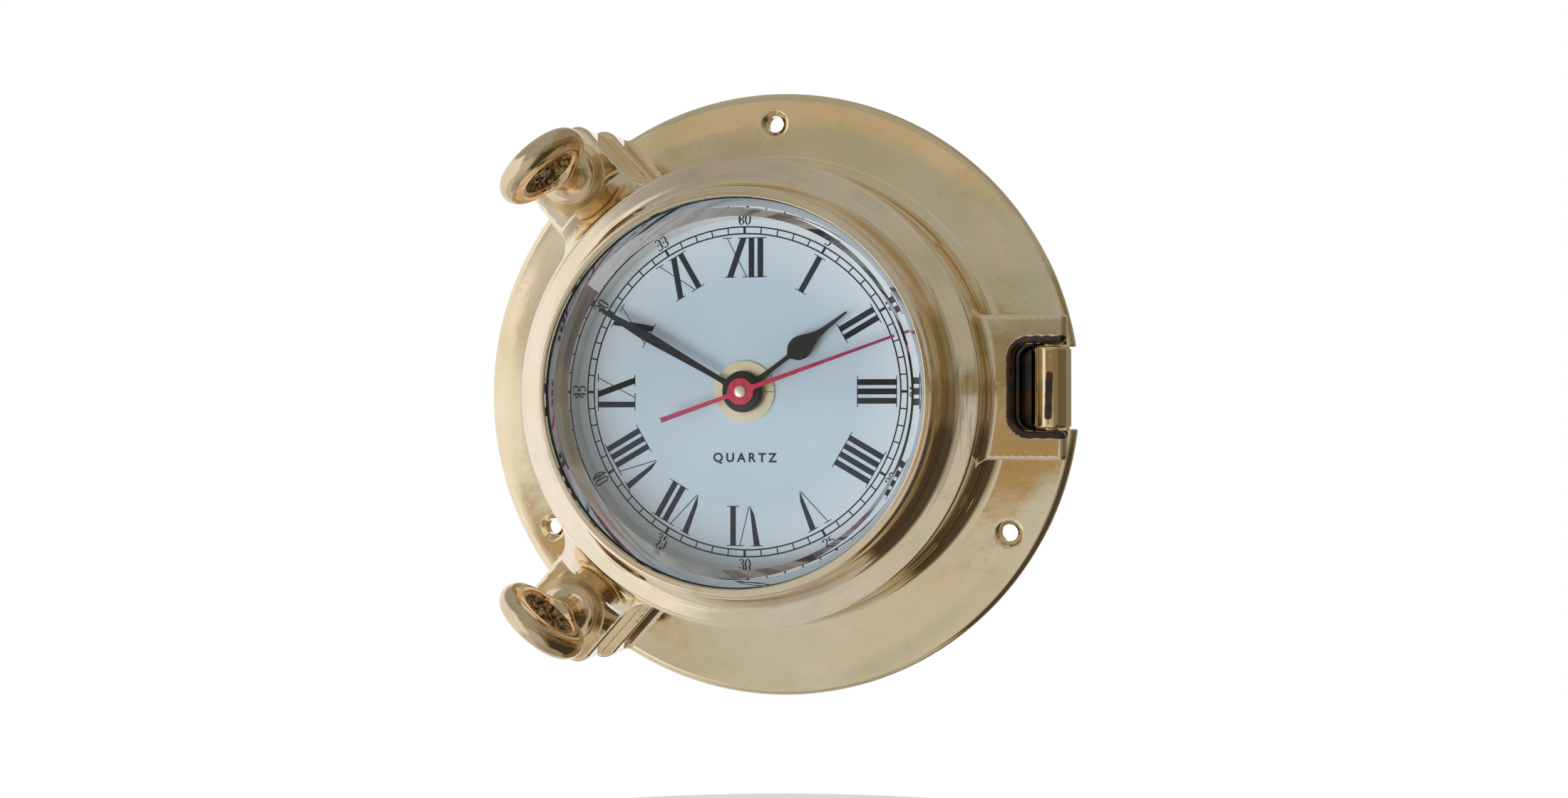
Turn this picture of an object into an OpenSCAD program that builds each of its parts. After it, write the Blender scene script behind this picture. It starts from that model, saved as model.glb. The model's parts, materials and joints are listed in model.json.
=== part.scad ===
// Brass porthole clock: a wall flange, a hinged door held by two thumb screws, and a quartz clock in the door.
// +Z is up, the clock faces -Y, and the origin is the centre of the flange's wall face.
// Sub-parts are drawn in clock coordinates (x right, y up, z out from the wall), then stood up by stand().

/* [Wall flange] */
// Outer diameter of the flange
flange_d = 150; // [148:0.5:154]
// Thickness of the flange plate
flange_t = 5; // [4.5:0.1:5.5]
// Diameter of the circle that the wall screws sit on
screw_circle_d = 134.7; // [133:0.1:136]
// Diameter of each wall screw hole
screw_hole_d = 4.1; // [3.6:0.1:4.6]
// Diameter of each countersink at the front face
countersink_d = 6.6; // [6:0.1:7.6]
// Height of the collar's seat above the wall
collar_h = 12; // [11.5:0.1:12]

/* [Door] */
// Outer diameter of the door's drum
door_d = 110.4; // [109.5:0.1:111]
// Height of the door's outer edge above the wall
door_edge_h = 34.8; // [34.4:0.1:35.4]
// Height of the raised rim's crest above the wall
rim_h = 48.6; // [48.4:0.1:49.2]
// Diameter of the opening in front of the glass
sight_d = 89; // [88:0.1:89.4]

/* [Hinge] */
// Distance from the clock's centre line to the hinge pin
hinge_x = 69.2; // [69:0.1:69.6]
// Height of the hinge pin above the wall
hinge_h = 17; // [16.8:0.1:17.4]
// Diameter of the hinge pin
hinge_pin_d = 4; // [3:0.1:4.4]
// Length of the middle knuckle
mid_knuckle_l = 19.2; // [18:0.2:20]
// Height of the hinge's centre above the clock's centre
hinge_rise = 1.4; // [0:0.1:2]

/* [Thumb screws] */
// Angle of each thumb screw from the hinge side, above and below
dog_angle = 131.5; // [129:0.5:134]
// Distance from the clock's centre to each thumb screw
dog_r = 71.5; // [71:0.1:72.5]
// Diameter of each knob's disc
knob_d = 23.5; // [22:0.5:24]
// Height of the knob disc's centre above the wall
knob_h = 42; // [41.5:0.1:43]
// Diameter of each stud
stud_d = 5; // [4.6:0.1:5.2]

/* [Dial and hands] */
// Radius inside the reflector ring
reflector_r = 40.7; // [40.5:0.1:41]
// Height of the dial's front face above the wall
dial_h = 33.25; // [33.2:0.05:33.3]
// Height of the dial's centre above the door's centre
dial_rise = 0.35; // [0:0.05:0.35]
// Clockwise angle of the hour hand from twelve
hour_angle = 53.5; // [0:0.5:360]
// Clockwise angle of the minute hand from twelve
minute_angle = 299.5; // [0:0.5:360]
// Clockwise angle of the seconds hand from twelve
seconds_angle = 70.7; // [0:0.1:360]

/* [Hidden] */
$fn = 96;

gap = 0.05;
seam = 0.15;
// How far a blend's arc bites into the wall it meets, so that the two surfaces cross
blend_bite = 0.15;
flange_r = flange_d / 2;
door_r = door_d / 2;
sight_r = sight_d / 2;

// Flange and collar
collar_bore_r = 47;
collar_fillet = 4;
edge_round = 0.9;
gasket_in_r = 49.4;
gasket_out_r = 52.6;
gasket_depth = 1.4;
knuckle_r = 4.2;
notch_x = 72.6;

// Lugs under the ears
lug_half_w = 13.2;
lug_reach = 78.4;
lug_bore_r = 3.05;
// How far the lugs stay below the collar's seat
lug_relief = 0.05;

// Ears on the door
ear_back_h = collar_h + seam;
ear_front_h = 23;
ear_half_w = 10.8;
ear_reach = 80.2;
ear_fillet = 9;
ear_bore_r = stud_d / 2 + 0.08;
clip_pocket_r = 5.2;
clip_pocket_d = 5.8;

// Hinge ear and the window around the middle knuckle
hinge_ear_half = 17;
hinge_ear_front_h = hinge_h + knuckle_r;
hinge_ear_fillet = 2.4;
window_x = 61.6;
window_gap = 0.3;
window_chamfer = 2.2;

// Inside the door, from the lip back
glass_r = 45.6;
glass_seat_r = 45.8;
lip_h = 46.95;
glass_front_h = 48.1;
glass_edge_front_h = 46.5;
glass_back_h = 44.3;
bevel_in_r = 41.6;
bevel_out_r = 44.3;
dial_t = 0.6;
dial_r = 45.2;
drum_bore_r = 50.6;
shoulder_h = 30;
ring_screw_r = 48;
ring_in_r = 42;
ring_back_h = 28;

// Movement, measured from the wall
case_w = 56;
case_corner = 3;
case_wall = 1.2;
case_front_h = 31.6;
case_split_h = 24;
case_back_h = 16.6;
bush_r = 3.3;
bush_top_h = 35;
battery_r = 7.1;
battery_l = 49;
battery_x = 19.6;
battery_h = case_front_h - case_wall - battery_r - gap;
bay_wall_x = 11.2;
pivot_r = 0.45;
pivot_top_h = case_front_h - 0.4;
pivot_bottom_h = case_back_h + 0.4;

// Wheel train. Each wheel's place is found from the teeth it meshes with.
seconds_teeth = 60;
fifth_leaves = 10;
fifth_teeth = 50;
rotor_leaves = 10;
seconds_leaves = 10;
third_teeth = 75;
third_leaves = 10;
minute_teeth = 80;
cannon_leaves = 12;
motion_teeth = 36;
motion_leaves = 10;
hour_teeth = 40;
seconds_mod = 0.3;
fifth_mod = 0.25;
third_mod = 0.25;
motion_mod = 0.35;

function centre_gap(a, b, mod) = (a + b) * mod / 2;
third_gap = centre_gap(seconds_leaves, third_teeth, third_mod);
minute_mod = 2 * third_gap / (third_leaves + minute_teeth);
motion_gap = centre_gap(cannon_leaves, motion_teeth, motion_mod);
hour_mod = 2 * motion_gap / (motion_leaves + hour_teeth);
fifth_gap = centre_gap(seconds_teeth, fifth_leaves, seconds_mod);
rotor_gap = centre_gap(fifth_teeth, rotor_leaves, fifth_mod);

function polar(r, a) = [r * cos(a), r * sin(a)];
hub = [0, dial_rise];
third_dir = 150;
fifth_dir = 230;
rotor_dir = 200;
motion_dir = 75;
set_dir = 60;
third_at = hub + polar(third_gap, third_dir);
fifth_at = hub + polar(fifth_gap, fifth_dir);
rotor_at = fifth_at + polar(rotor_gap, rotor_dir);
motion_at = hub + polar(motion_gap, motion_dir);
set_at = motion_at + polar(motion_gap, set_dir);

// Levels of the wheels above the wall
rotor_level = 19.2;
fifth_level = 21.6;
seconds_level = 23;
third_level = 24.6;
minute_level = 26.2;
motion_level = 27.6;
hour_level = 29.2;
wheel_t = 0.6;
leaf_t = 1.3;
hour_hand_h = 35.5;
minute_hand_h = 36.5;
seconds_hand_h = 37.6;
hand_t = 0.4;

// ---------- helpers ----------

// Turns clock coordinates into the standing frame.
module stand() rotate([90, 0, 0]) children();

module at(p, h = 0) translate([p[0], p[1], h]) children();

// Puts u (outward) and v (across) on the line through one thumb screw.
module on_dog(side) rotate([0, 0, side * dog_angle]) children();

module on_dog_axis(side) on_dog(side) translate([dog_r, 0, 0]) children();

module ring(r_out, r_in, h) {
    difference() {
        cylinder(r = r_out, h = h);
        translate([0, 0, -1]) cylinder(r = r_in, h = h + 2);
    }
}

module rounded_square(w, h, r) {
    union() {
        square([w - 2 * r, h], center = true);
        square([w, h - 2 * r], center = true);
        for (sx = [-1, 1], sy = [-1, 1])
            translate([sx * (w / 2 - r), sy * (h / 2 - r)]) circle(r = r);
    }
}

// A lug with parallel sides and a rounded tip, flared into a round body of radius root_r.
module flared_lug(root_r, half_w, reach, flare, tip) {
    flare_u = sqrt(pow(root_r - blend_bite + flare, 2) - pow(half_w + flare, 2));
    difference() {
        union() {
            polygon([[0, 0], [flare_u, half_w + flare], [flare_u, -half_w - flare]]);
            translate([0, -half_w]) square([reach - tip, 2 * half_w]);
            translate([0, tip - half_w]) square([reach, 2 * (half_w - tip)]);
            for (s = [-1, 1])
                translate([reach - tip, s * (half_w - tip)]) circle(r = tip);
        }
        for (s = [-1, 1])
            translate([flare_u, s * (half_w + flare)]) circle(r = flare);
        circle(r = root_r - 2);
    }
}

// The concave ring that blends a wall of radius r down to a face at height h.
module wall_fillet(r, h, fillet) {
    rotate_extrude()
        difference() {
            translate([r - 1, h - 1]) square([fillet + 1, fillet + 1]);
            translate([r + fillet - blend_bite, h + fillet - blend_bite]) circle(r = fillet);
        }
}

// One toothed outline. The tooth is narrow enough to run freely in mesh.
module toothed(teeth, mod) {
    pitch_r = teeth * mod / 2;
    step = 360 / teeth;
    root_r = pitch_r - 1.2 * mod;
    tip_r = pitch_r + 0.8 * mod;
    polygon([
        for (i = [0 : teeth - 1])
            for (p = [[root_r, -0.3], [pitch_r, -0.2], [tip_r, -0.08], [tip_r, 0.08], [pitch_r, 0.2], [root_r, 0.3]])
                polar(p[0], (i + p[1]) * step)
    ]);
}

module gear(teeth, mod, h) linear_extrude(height = h) toothed(teeth, mod);

// Turns a wheel so that a gap faces the direction of its partner's tooth.
function gap_turn(teeth, dir) = dir + 180 / teeth;

module arbor(h0, h1) translate([0, 0, h0]) cylinder(r = pivot_r - gap, h = h1 - h0);

// ---------- wall flange ----------

module flange_profile() {
    difference() {
        union() {
            translate([collar_bore_r, 0]) square([flange_r - edge_round - collar_bore_r, flange_t]);
            translate([collar_bore_r, edge_round])
                square([flange_r - collar_bore_r, flange_t - 2 * edge_round]);
            for (z = [edge_round, flange_t - edge_round])
                translate([flange_r - edge_round, z]) circle(r = edge_round);
            translate([collar_bore_r, 0]) square([door_r - collar_bore_r, collar_h]);
            difference() {
                translate([door_r - 1, flange_t - 1]) square([collar_fillet + 1, collar_fillet + 1]);
                translate([door_r + collar_fillet, flange_t + collar_fillet]) circle(r = collar_fillet);
            }
        }
        translate([gasket_in_r, collar_h - gasket_depth]) square([gasket_out_r - gasket_in_r, gasket_depth + 1]);
    }
}

module wall_screw_hole() {
    sink = (countersink_d - screw_hole_d) / 2;
    translate([0, 0, -1]) cylinder(d = screw_hole_d, h = flange_t + 2);
    translate([0, 0, flange_t - sink]) cylinder(d1 = screw_hole_d, d2 = countersink_d, h = sink);
    translate([0, 0, flange_t]) cylinder(d = countersink_d, h = 1);
}

module mounting_flange() color([0.86, 0.72, 0.45]) stand() {
    difference() {
        union() {
            rotate_extrude() flange_profile();
            for (side = [-1, 1])
                on_dog(side) linear_extrude(height = collar_h - lug_relief)
                    flared_lug(door_r, lug_half_w, lug_reach, 6, 4);
            translate([hinge_x - knuckle_r, hinge_rise - mid_knuckle_l / 2, flange_t - 1])
                cube([2 * knuckle_r, mid_knuckle_l, hinge_h - flange_t + 1]);
            translate([hinge_x, hinge_rise + mid_knuckle_l / 2, hinge_h])
                rotate([90, 0, 0]) cylinder(r = knuckle_r, h = mid_knuckle_l);
        }
        for (a = [90, 210, 330])
            rotate([0, 0, a]) translate([screw_circle_d / 2, 0, 0]) wall_screw_hole();
        for (side = [-1, 1])
            on_dog_axis(side) translate([0, 0, -1]) cylinder(r = lug_bore_r, h = collar_h + 2);
        translate([notch_x, hinge_rise - mid_knuckle_l / 2 - window_gap, -1])
            cube([flange_r, mid_knuckle_l + 2 * window_gap, flange_t + 2]);
        translate([hinge_x, hinge_rise + mid_knuckle_l, hinge_h])
            rotate([90, 0, 0]) cylinder(d = hinge_pin_d, h = 2 * mid_knuckle_l);
    }
}

module seat_gasket() color([0.12, 0.12, 0.12]) stand()
    translate([0, 0, collar_h - gasket_depth + 0.02])
        ring(gasket_out_r - gap, gasket_in_r + gap, gasket_depth + gap);

module hinge_pin() color([0.8, 0.68, 0.42]) stand()
    translate([hinge_x, hinge_rise + hinge_ear_half - 0.2, hinge_h])
        rotate([90, 0, 0]) cylinder(d = hinge_pin_d, h = 2 * hinge_ear_half - 0.4);

// ---------- door ----------

// The drum, its face and the raised rim, in radius and height.
module door_profile() {
    rim_foot_r = 49.4;
    rim_foot_h = 35.1;
    crest_round = 1.2;
    flank_fillet = 3.2;
    difference() {
        union() {
            translate([glass_seat_r, ear_back_h]) square([door_r - 1.4 - glass_seat_r, door_edge_h - ear_back_h]);
            translate([glass_seat_r, ear_back_h]) square([door_r - glass_seat_r, door_edge_h - 1.4 - ear_back_h]);
            translate([door_r - 1.4, door_edge_h - 1.4]) circle(r = 1.4);
            polygon([
                [sight_r, lip_h], [sight_r, rim_h - crest_round], [sight_r + crest_round, rim_h],
                [sight_r + 1.5, rim_h], [sight_r + 2.3, rim_h - 1.2], [47.9, 39.5],
                [rim_foot_r, rim_foot_h], [50.4, door_edge_h + 0.6], [door_r - 1.4, door_edge_h],
                [door_r - 1.4, shoulder_h], [glass_seat_r, shoulder_h], [glass_seat_r, lip_h]
            ]);
        }
        translate([0, ear_back_h - 1]) square([drum_bore_r, shoulder_h - ear_back_h + 1]);
    }
}

module ear(side) {
    on_dog(side) {
        translate([0, 0, ear_back_h])
            linear_extrude(height = ear_front_h - ear_back_h)
                flared_lug(door_r, ear_half_w, ear_reach, 8, 4);
        intersection() {
            wall_fillet(door_r, ear_front_h, ear_fillet);
            translate([0, 0, ear_front_h - 2])
                linear_extrude(height = ear_fillet + 4)
                    flared_lug(door_r, ear_half_w, ear_reach, 8, 4);
        }
    }
}

module hinge_ear() {
    ear_h = hinge_ear_front_h - ear_back_h;
    translate([door_r - 3, hinge_rise - hinge_ear_half, ear_back_h])
        cube([hinge_x - door_r + 3, 2 * hinge_ear_half, ear_h]);
    translate([hinge_x, hinge_rise + hinge_ear_half, hinge_h])
        rotate([90, 0, 0]) cylinder(r = knuckle_r, h = 2 * hinge_ear_half);
    intersection() {
        wall_fillet(door_r, hinge_ear_front_h, hinge_ear_fillet);
        translate([door_r - 8, hinge_rise - hinge_ear_half, hinge_ear_front_h - 2])
            cube([18, 2 * hinge_ear_half, 8]);
    }
}

// The opening that the middle knuckle turns in, with a sloped edge at the front.
module hinge_window() {
    half = mid_knuckle_l / 2 + window_gap;
    translate([window_x, hinge_rise - half, 0]) cube([30, 2 * half, 60]);
    hull() {
        translate([window_x, hinge_rise - half, hinge_ear_front_h - window_chamfer])
            cube([30, 2 * half, 0.01]);
        translate([window_x - window_chamfer, hinge_rise - half - window_chamfer, hinge_ear_front_h + 0.01])
            cube([30, 2 * (half + window_chamfer), 0.01]);
    }
}

module door_bezel() color([0.86, 0.72, 0.45]) stand() {
    difference() {
        union() {
            rotate_extrude() door_profile();
            for (side = [-1, 1]) ear(side);
            hinge_ear();
        }
        hinge_window();
        translate([hinge_x, hinge_rise + 40, hinge_h])
            rotate([90, 0, 0]) cylinder(d = hinge_pin_d + 2 * gap, h = 80);
        for (side = [-1, 1])
            on_dog_axis(side) {
                translate([0, 0, ear_back_h - 1]) cylinder(r = ear_bore_r, h = 20);
                translate([0, 0, ear_back_h - 1]) cylinder(r = clip_pocket_r, h = clip_pocket_d + 1);
            }
        for (a = [45 : 90 : 315])
            rotate([0, 0, a]) translate([ring_screw_r, 0, shoulder_h - 1]) cylinder(r = 1.04, h = 4.6);
        translate([0, 0, ear_back_h - 1]) cylinder(r = drum_bore_r, h = shoulder_h - ear_back_h + 1);
    }
}

module glass_gasket() color([0.08, 0.08, 0.08]) stand()
    translate([0, 0, glass_edge_front_h + 0.01]) ring(glass_r, sight_r - 0.1, lip_h - glass_edge_front_h - gap);

module bevelled_glass() color([0.85, 0.92, 0.95, 0.3]) stand()
    rotate_extrude()
        polygon([
            [0, glass_back_h], [glass_r, glass_back_h], [glass_r, glass_edge_front_h],
            [bevel_out_r, glass_edge_front_h], [bevel_in_r, glass_front_h], [0, glass_front_h]
        ]);

// A thin drum with a flange that carries the glass. Its rear edge rests on the dial.
module reflector_ring() color([0.75, 0.77, 0.78]) stand() {
    wall = 0.9;
    top = glass_back_h - gap;
    base = dial_h + 0.01;
    translate([0, 0, base]) ring(reflector_r + wall, reflector_r, top - base);
    difference() {
        translate([0, 0, top - wall]) cylinder(r = glass_r, h = wall);
        translate([0, 0, top - wall - 1]) cylinder(r = reflector_r + wall / 2, h = wall + 2);
    }
}

module dial_plate() color([0.88, 0.92, 0.95]) stand() at(hub, dial_h - dial_t)
    ring(dial_r, bush_r + 0.1, dial_t);

// Holds the dial, reflector and glass up against the lip.
module retaining_ring() color([0.55, 0.56, 0.57]) stand()
    difference() {
        union() {
            translate([0, 0, ring_back_h]) cylinder(r = drum_bore_r - 0.3, h = shoulder_h - gap - ring_back_h);
            translate([0, 0, ring_back_h]) cylinder(r = glass_r, h = dial_h - dial_t - gap - ring_back_h);
        }
        translate([0, 0, ring_back_h - 1]) cylinder(r = ring_in_r, h = 10);
        for (a = [45 : 90 : 315])
            rotate([0, 0, a]) translate([ring_screw_r, 0, ring_back_h - 1]) cylinder(r = 1.2, h = 10);
    }

module retaining_screws() color([0.7, 0.7, 0.72]) stand()
    for (a = [45 : 90 : 315])
        rotate([0, 0, a]) translate([ring_screw_r, 0, 0])
            difference() {
                union() {
                    translate([0, 0, ring_back_h - 1.2]) cylinder(r = 1.9, h = 1.18);
                    translate([0, 0, ring_back_h - 0.5]) cylinder(r = 1, h = 5.6);
                }
                translate([-0.25, -2, ring_back_h - 1.3]) cube([0.5, 4, 0.6]);
            }

// ---------- quartz movement ----------

module case_outline(inset = 0) translate(hub)
    rounded_square(case_w - 2 * inset, case_w - 2 * inset, case_corner - inset);

module battery_bay(h0, h1) {
    at([battery_x, dial_rise], (h0 + h1) / 2)
        cube([2 * battery_r + 0.5, battery_l + 3.4, h1 - h0], center = true);
}

// Wheels whose arbors run from the front case to the back case.
FULL_ARBORS = [third_at, fifth_at, rotor_at];

module movement_front_case() color([0.16, 0.16, 0.17]) stand()
    difference() {
        union() {
            difference() {
                translate([0, 0, case_split_h + gap])
                    linear_extrude(height = case_front_h - case_split_h - gap) case_outline();
                translate([0, 0, case_split_h - 1])
                    linear_extrude(height = case_front_h - case_wall - case_split_h + 1) case_outline(case_wall);
            }
            at([bay_wall_x, dial_rise - case_w / 2 + case_wall / 2], case_split_h + gap)
                cube([0.8, case_w - case_wall, case_front_h - case_split_h - 0.5]);
            at(hub, case_front_h - 1) cylinder(r = bush_r, h = bush_top_h - case_front_h + 1);
            at(motion_at, motion_level - 0.8) cylinder(r = 0.8, h = case_front_h - motion_level);
        }
        at(hub, case_split_h) cylinder(r = 2.55, h = 20);
        for (p = FULL_ARBORS) at(p, case_split_h) cylinder(r = pivot_r, h = pivot_top_h + 0.1 - case_split_h);
        at(set_at, case_split_h) cylinder(r = 1, h = pivot_top_h + 0.1 - case_split_h);
    }

module movement_back_case() color([0.14, 0.14, 0.15]) stand()
    difference() {
        union() {
            difference() {
                translate([0, 0, case_back_h])
                    linear_extrude(height = case_split_h - case_back_h) case_outline();
                translate([0, 0, case_back_h + case_wall])
                    linear_extrude(height = case_split_h) case_outline(case_wall);
            }
            at([bay_wall_x, dial_rise - case_w / 2 + case_wall / 2], case_back_h + 0.5)
                cube([0.8, case_w - case_wall, case_split_h - case_back_h - 0.5]);
        }
        battery_bay(case_back_h - 1, case_split_h);
        for (p = concat([hub], FULL_ARBORS))
            at(p, pivot_bottom_h - 0.1) cylinder(r = pivot_r, h = 4);
        at(set_at, case_back_h - 1) cylinder(r = 1.6, h = 6);
    }

module battery_cell() color([0.25, 0.32, 0.42]) stand()
    at([battery_x, dial_rise], battery_h) rotate([90, 0, 0]) {
        translate([0, 0, -battery_l / 2]) cylinder(r = battery_r - 0.05, h = battery_l - 1.2);
        translate([0, 0, battery_l / 2 - 1.3]) cylinder(r = 2.7, h = 1.3);
    }

// Flat coils that press on the cell's negative end.
module battery_spring() color([0.75, 0.75, 0.76]) stand()
    at([battery_x, dial_rise + battery_l / 2 + 0.05], battery_h) rotate([-90, 0, 0]) {
        cylinder(r = 2.2, h = 0.4);
        translate([0, 0, 0.35]) cylinder(r = 3.4, h = 0.4);
        translate([0, 0, 0.7]) cylinder(r = 4.6, h = 0.4);
    }

module battery_contact() color([0.75, 0.75, 0.76]) stand()
    at([battery_x, dial_rise - battery_l / 2 - 0.35], battery_h)
        cube([8, 0.4, 9], center = true);

board_at = [-17, 19];
board_h = 21;

module circuit_board() color([0.1, 0.35, 0.2]) stand() at(board_at + hub, board_h)
    linear_extrude(height = 0.8)
        difference() {
            square([18, 12], center = true);
            for (sx = [-1, 1]) translate([sx * 7.5, -4.5]) circle(r = 0.9);
        }

module quartz_crystal() color([0.8, 0.8, 0.82]) stand()
    at(board_at + hub + [-6, 3.6], board_h + 1.9) rotate([0, 90, 0]) cylinder(r = 1, h = 6);

module drive_chip() color([0.05, 0.05, 0.06]) stand()
    at(board_at + hub + [3, -1], board_h + 0.85) {
        cylinder(r = 2.4, h = 0.7);
        translate([0, 0, 0.7]) cylinder(r1 = 2.4, r2 = 1.4, h = 0.5);
    }

coil_at = [-13, -20.5];
coil_h = 20.6;
coil_l = 18;
core_w = 2.4;
core_t = 1.2;

module along_coil() at(coil_at + hub, coil_h) rotate([0, 90, 0]) children();

module coil_bobbin() color([0.85, 0.85, 0.8]) stand()
    along_coil() difference() {
        union() {
            cylinder(r = 1.8, h = coil_l, center = true);
            for (s = [-1, 1]) translate([0, 0, s * (coil_l / 2 - 0.5)]) cylinder(r = 2.7, h = 1, center = true);
        }
        cube([core_t + 0.1, core_w + 0.1, coil_l + 2], center = true);
    }

module coil_winding() color([0.72, 0.38, 0.18]) stand()
    along_coil() difference() {
        cylinder(r = 2.6, h = coil_l - 2.1, center = true);
        cylinder(r = 1.85, h = coil_l, center = true);
    }

// The iron core through the coil, its two arms and the eye around the rotor.
module stator_core() color([0.6, 0.6, 0.62]) stand() {
    half = coil_l / 2 + 2.2;
    rise = rotor_at[1] - coil_at[1] - dial_rise;
    at([0, 0], coil_h - core_t / 2) linear_extrude(height = core_t)
        difference() {
            translate(coil_at + hub) union() {
                square([2 * half, core_w], center = true);
                for (s = [-1, 1])
                    translate([s * (half - 0.8), rise / 2 - 0.3]) square([1.6, rise + core_w - 0.6], center = true);
                translate([0, rise]) square([2 * half, core_w + 1], center = true);
                translate(rotor_at - coil_at - hub) circle(r = 4.6);
            }
            translate(rotor_at) circle(r = 3);
        }
}

module dial_cushion() color([0.1, 0.1, 0.1]) stand()
    at(hub, case_front_h + 0.01) ring(9, bush_r + 0.05, dial_h - dial_t - case_front_h - 0.02);

// The brass washer under the nut, slit on one side.
module dial_washer() color([0.86, 0.82, 0.6]) stand()
    at(hub, dial_h + 0.01) difference() {
        ring(7.2, bush_r + 0.05, 0.5);
        translate([4.6, -0.12, -1]) cube([4, 0.24, 3]);
    }

module dial_nut() color([0.84, 0.78, 0.55]) stand()
    at(hub, dial_h + 0.52) difference() {
        cylinder(r = 4.7, h = 1.2, $fn = 6);
        translate([0, 0, -1]) cylinder(r = bush_r + 0.03, h = 4);
    }

module rotor() color([0.4, 0.42, 0.45]) stand() at(rotor_at) {
    arbor(pivot_bottom_h, pivot_top_h);
    translate([0, 0, rotor_level]) cylinder(r = 2.6, h = 1.8);
    translate([0, 0, fifth_level - 0.35]) rotate([0, 0, rotor_dir + 180])
        gear(rotor_leaves, fifth_mod, leaf_t);
}

module fifth_wheel() color([0.9, 0.9, 0.85]) stand() at(fifth_at) {
    arbor(pivot_bottom_h, pivot_top_h);
    translate([0, 0, fifth_level]) rotate([0, 0, gap_turn(fifth_teeth, rotor_dir)])
        gear(fifth_teeth, fifth_mod, wheel_t);
    translate([0, 0, seconds_level - 0.35]) rotate([0, 0, fifth_dir + 180])
        gear(fifth_leaves, seconds_mod, leaf_t);
}

module seconds_wheel() color([0.9, 0.9, 0.85]) stand() at(hub) {
    translate([0, 0, pivot_bottom_h]) cylinder(r = pivot_r - gap, h = 3);
    translate([0, 0, pivot_bottom_h + 2]) cylinder(r = 0.5, h = seconds_hand_h + 0.5 - pivot_bottom_h - 2);
    translate([0, 0, seconds_level]) rotate([0, 0, gap_turn(seconds_teeth, fifth_dir)])
        gear(seconds_teeth, seconds_mod, wheel_t);
    translate([0, 0, third_level - 0.35]) rotate([0, 0, third_dir])
        gear(seconds_leaves, third_mod, leaf_t);
}

module third_wheel() color([0.9, 0.9, 0.85]) stand() at(third_at) {
    arbor(pivot_bottom_h, pivot_top_h);
    translate([0, 0, third_level]) rotate([0, 0, gap_turn(third_teeth, third_dir + 180)])
        gear(third_teeth, third_mod, wheel_t);
    translate([0, 0, minute_level - 0.35]) rotate([0, 0, third_dir + 180])
        gear(third_leaves, minute_mod, leaf_t);
}

// The centre wheel and its pipe, which carries the minute hand.
module minute_wheel() color([0.9, 0.9, 0.85]) stand() at(hub)
    difference() {
        union() {
            translate([0, 0, minute_level]) rotate([0, 0, gap_turn(minute_teeth, third_dir)])
                gear(minute_teeth, minute_mod, wheel_t);
            translate([0, 0, minute_level + 0.5]) cylinder(r = 1.7, h = minute_hand_h - minute_level);
            translate([0, 0, motion_level - 0.35]) rotate([0, 0, motion_dir])
                gear(cannon_leaves, motion_mod, leaf_t);
        }
        translate([0, 0, minute_level - 1]) cylinder(r = 0.55, h = 20);
    }

module motion_wheel() color([0.9, 0.9, 0.85]) stand() at(motion_at)
    difference() {
        union() {
            translate([0, 0, motion_level]) rotate([0, 0, gap_turn(motion_teeth, motion_dir + 180)])
                gear(motion_teeth, motion_mod, wheel_t);
            translate([0, 0, motion_level + 0.3]) rotate([0, 0, motion_dir + 180])
                gear(motion_leaves, hour_mod, hour_level + wheel_t - motion_level);
        }
        translate([0, 0, motion_level - 1]) cylinder(r = 0.85, h = 20);
    }

// The hour wheel and its pipe, which carries the hour hand.
module hour_wheel() color([0.9, 0.9, 0.85]) stand() at(hub)
    difference() {
        union() {
            translate([0, 0, hour_level]) rotate([0, 0, gap_turn(hour_teeth, motion_dir)])
                gear(hour_teeth, hour_mod, wheel_t);
            translate([0, 0, hour_level]) cylinder(r = 2.5, h = hour_hand_h + 0.5 - hour_level);
        }
        translate([0, 0, hour_level - 1]) cylinder(r = 1.75, h = 20);
    }

// The knob at the back that sets the hands through the motion wheel.
module set_knob() color([0.9, 0.9, 0.9]) stand() at(set_at) {
    mesh_turn = set_dir + 180 + 180 / cannon_leaves;
    translate([0, 0, motion_level - 0.35]) rotate([0, 0, mesh_turn])
        gear(cannon_leaves, motion_mod, leaf_t);
    translate([0, 0, case_back_h - 1]) cylinder(r = 1.5, h = motion_level - case_back_h + 0.7);
    translate([0, 0, motion_level]) cylinder(r = 0.95, h = pivot_top_h - motion_level);
    difference() {
        translate([0, 0, case_back_h - 3.2]) cylinder(r = 5, h = 3);
        for (a = [0 : 30 : 330])
            rotate([0, 0, a]) translate([5.3, 0, case_back_h - 4]) cylinder(r = 0.7, h = 5);
    }
}

// ---------- hands ----------

// Turns a hand drawn along +x to its clockwise angle from twelve.
module hand(angle, h) stand() at(hub, h) rotate([0, 0, 90 - angle]) children();

// Pear-shaped hour hand.
module hour_hand() color([0.1, 0.13, 0.18]) hand(hour_angle, hour_hand_h - hand_t) {
    lobe_at = 16.4;
    lobe_r = 2.5;
    tip_at = 30.8;
    difference() {
        union() {
            cylinder(r = 4.8, h = hand_t);
            linear_extrude(height = hand_t) polygon([[1, -0.5], [1, 0.5], [tip_at, 0.22], [tip_at, -0.22]]);
            translate([lobe_at, 0, 0]) cylinder(r = lobe_r, h = hand_t);
            linear_extrude(height = hand_t) polygon([
                [lobe_at, lobe_r * 0.98], [lobe_at + 3.2, 1.45], [lobe_at + 5.4, 0.75], [lobe_at + 8, 0.32],
                [lobe_at + 8, -0.32], [lobe_at + 5.4, -0.75], [lobe_at + 3.2, -1.45], [lobe_at, -lobe_r * 0.98]
            ]);
        }
        translate([0, 0, -1]) cylinder(r = 2.5, h = 3);
    }
}

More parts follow.
